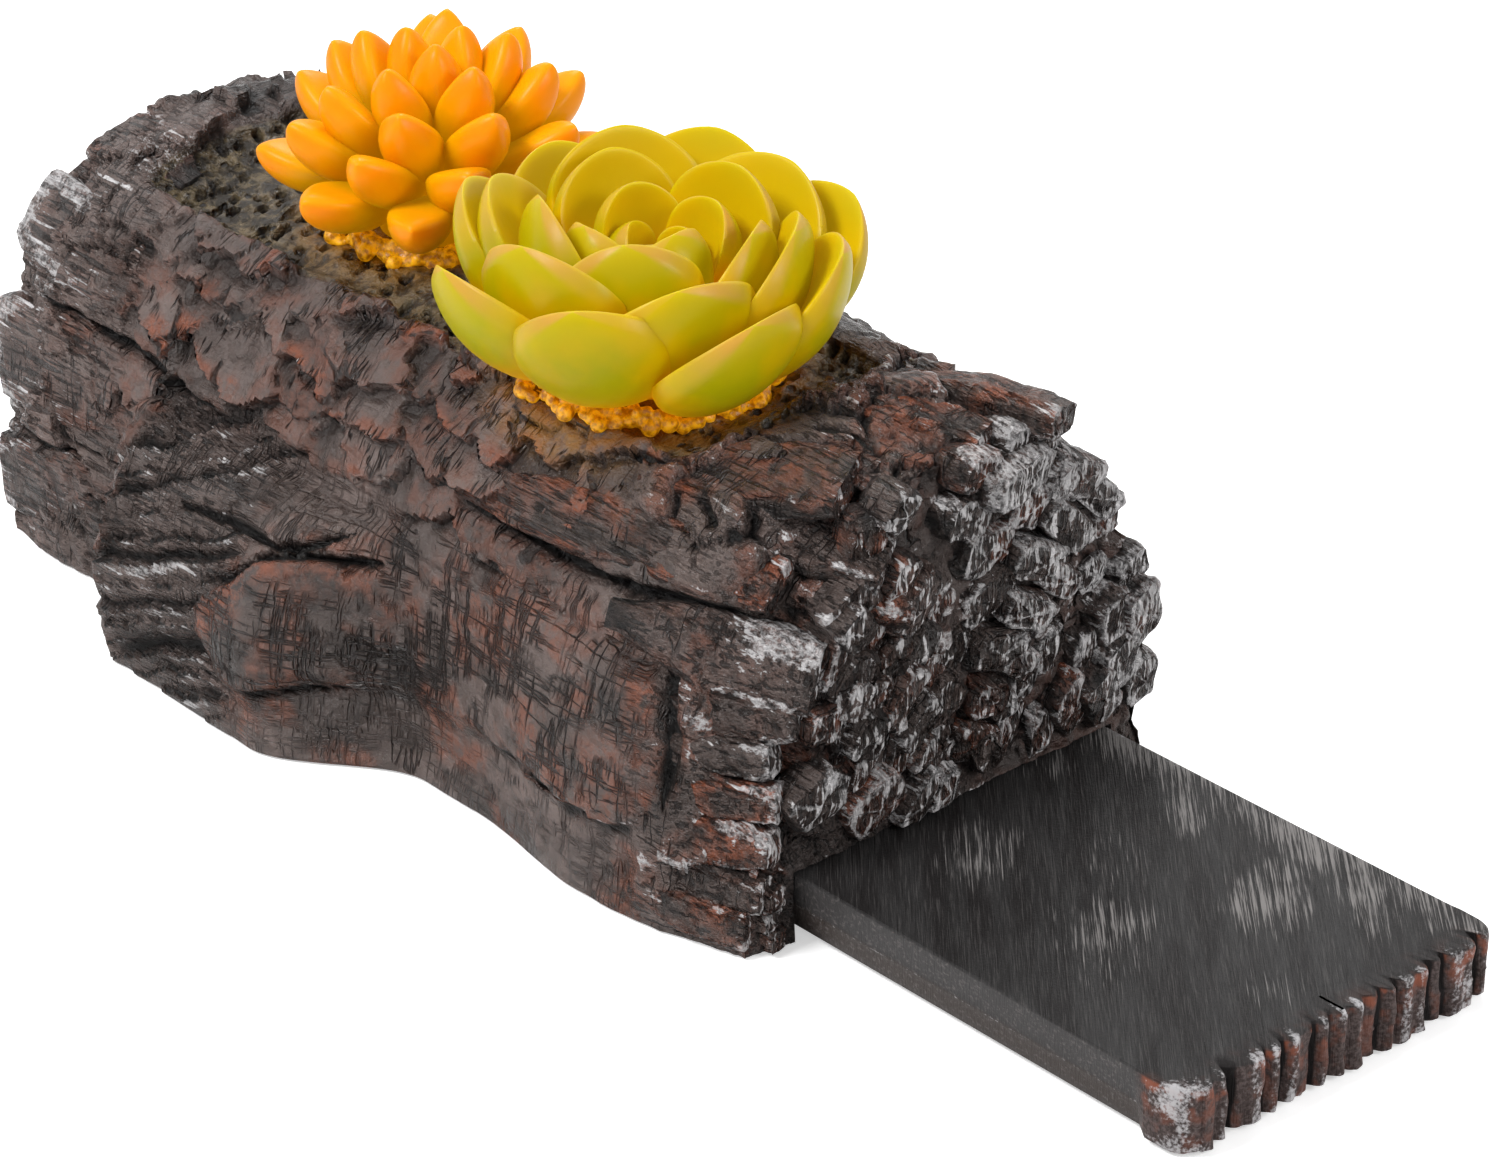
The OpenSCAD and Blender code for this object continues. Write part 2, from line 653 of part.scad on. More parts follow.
module battery_cell() {
    color([0.20, 0.45, 0.30])
    translate([cell_x, cell_y - cell_len / 2, cell_z]) rotate([-90, 0, 0]) {
        cylinder(d = cell_d, h = cell_len - 1);
        cylinder(d = 3.6, h = cell_len);
    }
}
contact_w = well_w - 2;
contact_t = 0.4;
module spring_contact() {
    bow = (well_len - cell_len) / 2;
    color([0.80, 0.78, 0.72])
    translate([cell_x, cell_y - well_len / 2, 0])
    union() {
        translate([0, contact_t / 2, well_z]) box([contact_w, contact_t, well_top - well_z]);
        translate([0, 1.5, well_top - contact_t]) box([3, 3, contact_t]);
        translate([0, 1.5, well_top - contact_t]) box([3, 1, frame_wall + contact_t]);
        rotate([90, 0, 90]) translate([0, 0, -2]) linear_extrude(4)
            polygon([
                [0, well_z + 1], [contact_t, well_z + 1], [bow, cell_z - 0.6], [bow, cell_z + 0.6],
                [contact_t, well_top - 2], [contact_t, well_top - 2.6],
                [bow - contact_t, cell_z + 0.4], [bow - contact_t, cell_z - 0.4], [0, well_z + 1.6]
            ]);
    }
}
module plate_contact() {
    color([0.80, 0.78, 0.72])
    translate([cell_x, cell_y + well_len / 2, 0])
    union() {
        translate([0, -contact_t / 2, well_z]) box([contact_w, contact_t, well_top - well_z]);
        translate([0, -1.5, well_top - contact_t]) box([3, 3, contact_t]);
        translate([0, -1.5, well_top - contact_t]) box([3, 1, frame_wall + contact_t]);
        translate([0, 0, cell_z]) rotate([90, 0, 0]) cylinder(d = 4, h = (well_len - cell_len) / 2);
    }
}
module battery_leads() {
    color([0.12, 0.12, 0.13])
    for (side = [-1, 1])
        let (y = cell_y + side * (well_len / 2 - 1.5), tab = well_top + frame_wall)
        wire([[cell_x, y, tab], [cell_x, y, tab + 6], [board_back, y, tab + 6]], [0, 1, 0]);
}

module battery_door() {
    color([0.13, 0.12, 0.11])
    translate([cell_x, door_y, frame_lift])
    difference() {
        box([door_w, door_len, door_t]);
        translate([0, screw_y - door_y, -1]) cylinder(d = 2.4, h = door_t + 2);
        translate([0, screw_y - door_y, -1]) cylinder(d = 4.6, h = 2.3);
        for (k = [-3 : 3]) translate([0, -door_len / 2 + 8 + k * 1.6, -1]) box([10, 0.8, 1.5]);
    }
}
module door_seal() {
    color([0.09, 0.09, 0.09])
    translate([cell_x, door_y, seal_z])
    difference() {
        box([door_w, door_len, seal_t]);
        translate([0, cell_y - door_y, -1]) box([well_w + 1, well_len + 1, seal_t + 2]);
        translate([0, screw_y - door_y, -1]) cylinder(d = 2.4, h = seal_t + 2);
    }
}
module door_screw() {
    color([0.72, 0.72, 0.74])
    translate([cell_x, screw_y, frame_lift]) {
        difference() {
            translate([0, 0, 0.2]) cylinder(d = 4.2, h = 1.1);
            for (turn = [0, 90]) rotate([0, 0, turn]) translate([0, 0, -0.8]) box([2.6, 0.6, 1.6]);
        }
        translate([0, 0, 1.3 - eps]) cylinder(d = 1.9, h = door_t + seal_t + 4);
    }
}

module switch_body() {
    color([0.16, 0.16, 0.17])
    translate([switch_x, switch_y, switch_floor])
    difference() {
        box([switch_len, switch_w, 4.4]);
        translate([0, 0, -1]) box([2.2 + switch_travel + 0.4, 2.4, 3]);
    }
}
module switch_knob() {
    color([0.85, 0.85, 0.84])
    translate([switch_x - switch_travel / 2, switch_y, frame_lift + 0.4])
        box([2, 2, switch_floor + 1.6 - frame_lift - 0.4]);
}

log_shell();
base_frame();
key_plank();
green_rosette();
orange_rosette();
green_glow_bead();
orange_glow_bead();
green_led();
orange_led();
green_led_lead();
orange_led_lead();
solar_panel();
panel_lead();
circuit_board();
board_parts();
battery_cell();
spring_contact();
plate_contact();
battery_leads();
battery_door();
door_seal();
door_screw();
switch_body();
switch_knob();
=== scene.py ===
"""Tree stump key hider: a cast log with two lit succulents on top and a plank that slides out from under it."""
import itertools
import math

import bmesh
import bpy
import numpy as np
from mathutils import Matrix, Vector


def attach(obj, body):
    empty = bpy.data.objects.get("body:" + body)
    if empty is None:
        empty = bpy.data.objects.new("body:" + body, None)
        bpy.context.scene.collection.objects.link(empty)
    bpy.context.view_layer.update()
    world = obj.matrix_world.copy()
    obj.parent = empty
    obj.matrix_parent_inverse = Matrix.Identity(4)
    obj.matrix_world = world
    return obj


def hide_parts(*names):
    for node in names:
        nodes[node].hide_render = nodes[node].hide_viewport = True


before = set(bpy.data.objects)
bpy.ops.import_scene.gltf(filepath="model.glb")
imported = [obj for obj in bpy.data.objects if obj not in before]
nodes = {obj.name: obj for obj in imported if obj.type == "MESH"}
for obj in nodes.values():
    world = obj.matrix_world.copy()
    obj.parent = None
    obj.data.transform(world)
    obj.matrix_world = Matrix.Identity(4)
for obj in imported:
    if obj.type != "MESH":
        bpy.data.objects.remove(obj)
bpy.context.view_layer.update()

MM = 0.001
scene = bpy.context.scene


# Node trees

class Signal:
    """One output of a node. Sums, products and the like on it add Math nodes to the same graph."""

    def __init__(self, graph, socket):
        self.graph = graph
        self.socket = socket

    def maths(self, operation, first, second=0.0, third=0.0):
        return self.graph.node("ShaderNodeMath", {"operation": operation}, {0: first, 1: second, 2: third})

    def __add__(self, other):
        return self.maths("ADD", self, other)

    def __radd__(self, other):
        return self.maths("ADD", other, self)

    def __sub__(self, other):
        return self.maths("SUBTRACT", self, other)

    def __rsub__(self, other):
        return self.maths("SUBTRACT", other, self)

    def __mul__(self, other):
        return self.maths("MULTIPLY", self, other)

    def __rmul__(self, other):
        return self.maths("MULTIPLY", other, self)

    def __truediv__(self, other):
        return self.maths("DIVIDE", self, other)

    def __rtruediv__(self, other):
        return self.maths("DIVIDE", other, self)

    def __pow__(self, other):
        return self.maths("POWER", self, other)

    def __neg__(self):
        return self.maths("MULTIPLY", self, -1.0)

    def __abs__(self):
        return self.maths("ABSOLUTE", self)

    def sine(self):
        return self.maths("SINE", self)

    def cosine(self):
        return self.maths("COSINE", self)

    def fraction(self):
        return self.maths("FRACT", self)

    def least(self, other):
        return self.maths("MINIMUM", self, other)

    def most(self, other):
        return self.maths("MAXIMUM", self, other)

    def step(self, low, high):
        """0 below low, 1 above high and smooth between them."""
        values = {"Value": self, "From Min": low, "From Max": high}
        return self.graph.node("ShaderNodeMapRange", {"interpolation_type": "SMOOTHSTEP"}, values)


class Graph:
    """A node tree that is filled node by node."""

    def __init__(self, tree):
        self.tree = tree

    def node(self, kind, settings=None, values=None, out=0):
        made = self.tree.nodes.new(kind)
        for name, value in (settings or {}).items():
            if name == "stops":
                self.set_stops(made.color_ramp, value)
            else:
                setattr(made, name, value)
        for name, value in (values or {}).items():
            socket = made.inputs[name]
            if isinstance(value, Signal):
                self.tree.links.new(value.socket, socket)
            else:
                socket.default_value = value
        return Signal(self, made.outputs[out]) if len(made.outputs) else None

    def set_stops(self, ramp, stops):
        while len(ramp.elements) > 1:
            ramp.elements.remove(ramp.elements[-1])
        ramp.elements[0].position = stops[0][0]
        ramp.elements[0].color = stops[0][1]
        for place, colour in stops[1:]:
            ramp.elements.new(place).color = colour


def paint(red, green, blue):
    """A colour as it is read off a screen, 0 to 255, for a colour socket."""
    shares = [c / 255 for c in (red, green, blue)]
    return tuple(s / 12.92 if s <= 0.04045 else ((s + 0.055) / 1.055) ** 2.4 for s in shares) + (1.0,)


class Finish(Graph):
    """A material around one Principled shader."""

    def __init__(self, name):
        self.material = bpy.data.materials.new(name)
        self.material.use_nodes = True
        super().__init__(self.material.node_tree)
        self.shader = self.tree.nodes["Principled BSDF"]
        self.place = self.node("ShaderNodeTexCoord", out="Object")

    def turned(self, scale=(1, 1, 1), turn=(0, 0, 0), shift=(0, 0, 0)):
        values = {"Vector": self.place, "Location": shift, "Rotation": turn, "Scale": scale}
        return self.node("ShaderNodeMapping", {"vector_type": "POINT"}, values)

    def noise(self, scale, detail=4.0, rough=0.55, vector=None, twist=0.0):
        values = {"Vector": vector or self.place, "Scale": scale, "Detail": detail, "Roughness": rough,
                  "Distortion": twist}
        return self.node("ShaderNodeTexNoise", {"noise_dimensions": "3D"}, values)

    def noise_colour(self, scale):
        return self.node("ShaderNodeTexNoise", values={"Vector": self.place, "Scale": scale, "Detail": 2.0}, out="Color")

    def cells(self, scale, feature="F1", vector=None, out="Distance"):
        values = {"Vector": vector or self.place, "Scale": scale}
        return self.node("ShaderNodeTexVoronoi", {"feature": feature}, values, out)

    def attribute(self, name):
        return self.node("ShaderNodeAttribute", {"attribute_name": name}, out="Fac")

    def axes(self, vector=None):
        split = self.node("ShaderNodeSeparateXYZ", values={"Vector": vector or self.place})
        holder = split.socket.node
        return [Signal(self, holder.outputs[k]) for k in range(3)]

    def mix(self, share, first, second):
        values = {"Factor": share, 6: first, 7: second}
        return self.node("ShaderNodeMix", {"data_type": "RGBA"}, values, 2)

    def bump(self, height, distance, strength=1.0, under=None):
        values = {"Height": height, "Distance": distance, "Strength": strength}
        if under is not None:
            values["Normal"] = under
        return self.node("ShaderNodeBump", values=values)

    def surface(self, **sockets):
        for name, value in sockets.items():
            socket = self.shader.inputs[name.replace("_", " ")]
            if isinstance(value, Signal):
                self.tree.links.new(value.socket, socket)
            else:
                socket.default_value = value
        return self.material


# Meshes

def mesh_of(name, points, faces, attributes=None):
    """A mesh from points in millimetres, with values on its points."""
    mesh = bpy.data.meshes.new(name)
    mesh.from_pydata((np.asarray(points) * MM).tolist(), [], faces)
    for key, values in (attributes or {}).items():
        layer = mesh.attributes.new(key, "FLOAT", "POINT")
        layer.data.foreach_set("value", np.ascontiguousarray(values, np.float32))
    mesh.validate()
    return mesh


def place(mesh, name, material, smooth_below=None):
    """An object at the origin with one finish. Edges sharper than the angle stay sharp."""
    piece = bpy.data.objects.new(name, mesh)
    scene.collection.objects.link(piece)
    mesh.materials.clear()
    mesh.materials.append(material)
    if smooth_below is not None:
        mesh.polygons.foreach_set("use_smooth", [True] * len(mesh.polygons))
        mesh.set_sharp_from_angle(angle=math.radians(smooth_below))
    return piece


def as_mesh(piece, name):
    """The plain mesh of a piece with its modifiers applied. The piece itself is removed."""
    bpy.context.view_layer.update()
    evaluated = piece.evaluated_get(bpy.context.evaluated_depsgraph_get())
    mesh = bpy.data.meshes.new_from_object(evaluated)
    mesh.name = name
    bpy.data.objects.remove(piece)
    return mesh


def grid_faces(columns, rows, first=0, closed_rows=False):
    """Quads over a grid of points that is stored column by column."""
    last = rows if closed_rows else rows - 1
    i, j = np.meshgrid(np.arange(columns - 1), np.arange(last), indexing="ij")
    a = first + i * rows + j
    b = first + i * rows + (j + 1) % rows
    return np.stack([a, a + rows, b + rows, b], axis=-1).reshape(-1, 4).tolist()


def triangles(mesh):
    return sum(len(p.vertices) - 2 for p in mesh.polygons)


# Patterns in space, for the bark's relief

def scatter(ix, iy, iz, seed):
    n = ix * 374761393 + iy * 668265263 + iz * 1440662683 + seed * 974711
    n = (n ^ (n >> 13)) * 1274126177
    n = n ^ (n >> 16)
    return (n & 0xFFFFFF) / float(0x1000000)


def grain(points, seed):
    """Smooth noise, -1 to 1, with a period of one unit."""
    whole = np.floor(points).astype(np.int64)
    part = points - whole
    part = part * part * (3 - 2 * part)
    total = np.zeros(len(points))
    for corner in itertools.product((0, 1), repeat=3):
        share = np.ones(len(points))
        for k in range(3):
            share = share * (part[:, k] if corner[k] else 1 - part[:, k])
        total += share * scatter(whole[:, 0] + corner[0], whole[:, 1] + corner[1], whole[:, 2] + corner[2], seed)
    return total * 2 - 1


def layered(points, octaves, seed):
    total = np.zeros(len(points))
    size = 1.0
    for k in range(octaves):
        total += size * grain(points * 2.0 ** k, seed + k)
        size *= 0.5
    return total


class Chips:
    """Random cells around scattered middles: the gap to the next cell, and each cell's own tone and lie."""

    def __init__(self, points, seed):
        whole = np.floor(points).astype(np.int64)
        near = np.full(len(points), 9.0)
        second = np.full(len(points), 9.0)
        tone = np.zeros(len(points))
        lie = np.zeros((len(points), 3))
        for step in itertools.product((-1, 0, 1), repeat=3):
            cell = [whole[:, k] + step[k] for k in range(3)]
            middle = np.stack([cell[k] + 0.1 + 0.8 * scatter(*cell, seed + 31 * k) for k in range(3)], axis=1)
            off = points - middle
            far = np.sqrt((off ** 2).sum(1))
            closer = far < near
            second = np.where(closer, near, np.minimum(second, far))
            tone = np.where(closer, scatter(*cell, seed + 7), tone)
            lie = np.where(closer[:, None], off, lie)
            near = np.where(closer, far, near)
        self.near = near
        self.gap = second - near
        self.tone = tone
        self.lie = lie


def smooth(v):
    c = np.clip(v, 0, 1)
    return c * c * (3 - 2 * c)


def sind(angle):
    return np.sin(np.radians(angle))


def cosd(angle):
    return np.cos(np.radians(angle))


# Sizes of the log and what is set in it, in millimetres

HALF = 103.0
LOG_W = 98.0
LOG_H = 80.0
LOG_SQUARE = 2.6
CORNER_CUT = 13.0
FURROW_DEPTH = 1.4
BRANCH_REACH = 18.0
BRANCH_BACK = 52.0
BRANCH_MID = 19.0
BRANCH_RISE = 26.0
TROUGH_DEPTH = 5.0
TROUGH_W = 50.0
HOLLOW_HALF = 40.5
HOLLOW_H = 64.0
HOLLOW_END = 90.0
MOUTH_HALF = 37.3
MOUTH_H = 13.0
SEAT_Z = 73.0
GREEN = (40.0, -11.5)
ORANGE = (-31.5, 0.5)
GREEN_SEAT = 23.0
ORANGE_SEAT = 20.0


# The log's plain form, as it was before its bark was carved

def trough(x, y):
    across = smooth((TROUGH_W / 2 - np.abs(y + 7)) / 7)
    return TROUGH_DEPTH * across * smooth((x + HALF - 16) / 12) * smooth((HALF - 26 - x) / 14)


def branch_run(x):
    return BRANCH_REACH * (smooth((22 - x) / 30) + 0.33 * smooth(1 - np.abs(x - 72) / 36))


def branch_side(z):
    above = np.sqrt(np.clip(1 - ((z - BRANCH_MID) / BRANCH_RISE) ** 2, 0, 1))
    return np.where(z < BRANCH_MID, 0.9 + 0.1 * z / BRANCH_MID, above)


def foot_fade(t):
    return smooth(np.minimum(t, 180 - t) / 14)


def section(x, branch_share):
    """The outline of the log at x, from its right foot over the top to its left foot."""
    t = np.linspace(0, 180, 721)
    front = smooth((x - HALF + 18) / 18)
    rear = smooth((-x - HALF + 14) / 14)
    right = LOG_SQUARE + 0.4 * smooth((-x - 0.2 * HALF) / (0.6 * HALF))
    square = np.where(t > 90, LOG_SQUARE + 0.7, right)
    small = 1 - 0.02 * front - 0.05 * rear
    wide = small * LOG_W / 2 * (1 + 0.02 * sind(2.4 * x + 40))
    c = cosd(t)
    y = wide * np.sign(c) * np.abs(c) ** (2 / square)
    z = small * LOG_H * np.clip(sind(t), 0, 1) ** (2 / square)
    plates = np.abs(sind(11 * (t + 4 * sind(2.6 * x)))) - 1 + 0.5 * np.abs(sind(3.4 * x + 6 * t)) - 0.5
    cut = np.where(t > 80, -0.76, FURROW_DEPTH * plates) * foot_fade(t)
    cut = cut - np.where(t > 90, CORNER_CUT * front * smooth((t - 96) / 20) * foot_fade(t), 0)
    y = y + cut * c
    z = np.maximum(0, z + cut * sind(t))
    y = y - np.where(t > 90, branch_share * branch_run(x) * branch_side(z), 0)
    z = np.maximum(0, z - trough(x, y))
    return t, y, z


RIGHT_ROWS = 66
LEFT_ROWS = 168
ROWS = RIGHT_ROWS + LEFT_ROWS


def spaced(t, y, z):
    """The same outline as evenly spaced points, closer together on the left and on top."""
    run = np.concatenate([[0], np.cumsum(np.hypot(np.diff(y), np.diff(z)))])
    turn = np.interp(72.0, t, run)
    at = np.concatenate([np.linspace(0, turn, RIGHT_ROWS + 1)[:-1], np.linspace(turn, run[-1], LEFT_ROWS)])
    return np.interp(at, run, t), np.interp(at, run, y), np.interp(at, run, z)


def arch_points(half, high, square):
    """A plain arch with as many points as the bark's outline."""
    t = np.linspace(0, 180, 721)
    c = cosd(t)
    y = half * np.sign(c) * np.abs(c) ** (2 / square)
    z = high * np.clip(sind(t), 0, 1) ** (2 / square)
    return spaced(t, y, z)


def mouth_points():
    """The mouth's square outline with as many points as the bark's outline."""
    corners_y = np.array([MOUTH_HALF, MOUTH_HALF, -MOUTH_HALF, -MOUTH_HALF])
    corners_z = np.array([0, MOUTH_H, MOUTH_H, 0])
    run = np.array([0, MOUTH_H, MOUTH_H + 2 * MOUTH_HALF, 2 * MOUTH_H + 2 * MOUTH_HALF])
    at = np.linspace(0, run[-1], ROWS)
    return np.interp(at, run, corners_y), np.interp(at, run, corners_z)


def bark_grid():
    """Columns of points over the whole log: its rear end, its side, the branch's end, and its front end."""
    columns = []
    kinds = []
    angles = []
    rear = spaced(*section(-HALF, 0.0))
    for s in np.linspace(0.03, 0.97, 26):
        y, z = rear[1] * s, rear[2] * s
        strata = smooth(z / 10) * (1.5 * sind(17 * z + 5 * y) + 1.2 * sind(13 * y - 7 * z)) * smooth((1 - s) / 0.08)
        columns.append(np.stack([-HALF - 1.5 * (1 - s) - strata, y, z], axis=1))
        kinds.append(-1.0)
        angles.append(rear[0])
    stations = [(x, 0.0) for x in np.linspace(-HALF, -BRANCH_BACK - 0.1, 63)]
    for share in np.linspace(0.0, 1.0, 17)[1:]:
        bulge = 3.6 * math.sin(math.pi * share)
        stations.append((-BRANCH_BACK - bulge + 1.2 * share, share))
    stations += [(x, 1.0) for x in np.linspace(-BRANCH_BACK + 2.0, HALF, 190)]
    for x, share in stations:
        t, y, z = spaced(*section(x, share))
        columns.append(np.stack([np.full(ROWS, x), y, z], axis=1))
        kinds.append(0.0)
        angles.append(t)
    t, y, z = spaced(*section(HALF, 1.0))
    mouth_y, mouth_z = mouth_points()
    for q in np.linspace(0, 1, 59)[1:]:
        x = np.full(ROWS, HALF + 1.6 * math.sqrt(q))
        columns.append(np.stack([x, y + (mouth_y - y) * q, z + (mouth_z - z) * q], axis=1))
        kinds.append(1.0)
        angles.append(t)
    return np.array(columns), np.array(kinds), np.array(angles)


def normals_of(grid):
    along = np.gradient(grid, axis=0)
    around = np.gradient(grid, axis=1)
    n = np.cross(around, along)
    n /= np.maximum(1e-9, np.linalg.norm(n, axis=2, keepdims=True))
    return n


def blurred(field, reach, times=2):
    """A grid of values averaged with its neighbours."""
    for axis in (0, 1) * times:
        pad = [(reach, reach) if k == axis else (0, 0) for k in range(field.ndim)]
        wide = np.cumsum(np.pad(field, pad, mode="edge"), axis=axis)
        zero = np.zeros_like(np.take(wide, [0], axis=axis))
        wide = np.concatenate([zero, wide], axis=axis)
        size = 2 * reach + 1
        length = field.shape[axis]
        high = np.take(wide, np.arange(size, size + length), axis=axis)
        low = np.take(wide, np.arange(length), axis=axis)
        field = (high - low) / size
    return field


# The long cracks of the left side: points along each, then its width and depth
CRACKS = [
    ([(28, -44, 55), (42, -43.5, 54.5), (59, -42, 53), (70, -41.5, 54), (87, -41, 57), (99, -32, 53)], 1.2, 4.0),
    ([(-26, -64, 26), (-13, -63, 30.5), (-8, -60, 36), (1, -55.5, 38), (7.5, -52, 38), (16, -48, 40)], 0.7, 2.2),
    ([(-37, -59, 35.5), (-21, -58, 38), (-6.5, -58, 38), (-1.5, -56, 39), (6.5, -49.5, 43)], 0.8, 2.2),
    ([(-20, -66, 18), (-14, -66, 9), (3, -61, 14.5), (13, -53.5, 16)], 0.7, 1.4),
    ([(44, -50, 16.5), (58.5, -52.5, 16), (77, -53.5, 15.5)], 0.8, 2.0),
    ([(75.5, -41.5, 54), (82, -45, 47), (84.5, -47, 40.5), (86, -47.5, 31.5), (86, -50, 22)], 1.3, 3.2),
    ([(-103, -40, 51), (-80, -43.5, 50), (-66, -43.5, 50), (-52, -44.5, 48), (-40, -45, 47)], 0.8, 2.4),
    ([(-103, -46, 23), (-92, -47.5, 23), (-78, -47.5, 24)], 0.9, 2.4),
    ([(55, -33, 71), (70, -30, 72.5), (82, -33, 67), (92, -30, 64)], 0.9, 2.2),
    ([(78, -12, 77), (90, -9, 76), (101, -14, 70)], 0.9, 2.0),
]


def crack_depths(points, normals):
    """How deep the cracks cut at each point, and how far it lies from the nearest of them, in that one's widths."""
    depth = np.zeros(len(points))
    away = np.full(len(points), 4.0)
    wobble = 0.9 * grain(points / 4.0, 211)
    for line, wide, deep in CRACKS:
        line = np.array(line, float)
        best = np.full(len(points), 99.0)
        share = np.zeros(len(points))
        steps = len(line) - 1
        for k in range(steps):
            a, b = line[k], line[k + 1]
            way = b - a
            u = np.clip(((points - a) @ way) / (way @ way), 0, 1)
            off = points - (a + u[:, None] * way)
            out = (off * normals).sum(1)
            flat = np.sqrt(np.maximum(0, (off ** 2).sum(1) - out ** 2))
            flat = np.where(np.abs(out) < 10, flat, 99.0)
            closer = flat < best
            best = np.where(closer, flat, best)
            share = np.where(closer, (k + u) / steps, share)
        taper = np.clip(np.minimum(share, 1 - share) * 6, 0.25, 1)
        core = np.exp(-((best + wobble * 0.5) / (wide * taper)) ** 2)
        depth = np.maximum(depth, deep * taper * core)
        away = np.minimum(away, (best + 0.3 * wobble) / (wide * taper))
    return depth, away


# The branch's own plate of bark, as seen from the left: x and height
PLATE = [(-23, 19), (-19, 26), (-13, 30.5), (-8, 36), (1, 38), (7.5, 38), (19, 40.5), (34, 43), (50, 47), (66, 50.5),
         (71, 51), (77, 47.5), (81.5, 42), (84.5, 35), (85.5, 26), (83, 19), (76, 16), (58, 15), (44, 15.5), (25, 12), (13, 14),
         (3, 13), (-6, 8), (-14, 8), (-20, 13)]


def inside_by(x, z, outline):
    """How far inside an outline each point lies, in millimetres; less than 0 is outside."""
    corners = np.array(outline, float)
    best = np.full(len(x), 99.0)
    within = np.zeros(len(x), bool)
    for a, b in zip(corners, np.roll(corners, -1, axis=0)):
        way = b - a
        u = np.clip(((x - a[0]) * way[0] + (z - a[1]) * way[1]) / (way @ way), 0, 1)
        best = np.minimum(best, np.hypot(x - a[0] - u * way[0], z - a[1] - u * way[1]))
        crosses = (a[1] > z) != (b[1] > z)
        reach = a[0] + (z - a[1]) / np.where(way[1] == 0, 1e-9, way[1]) * way[0]
        within ^= crosses & (x < reach)
    return np.where(within, best, -best)


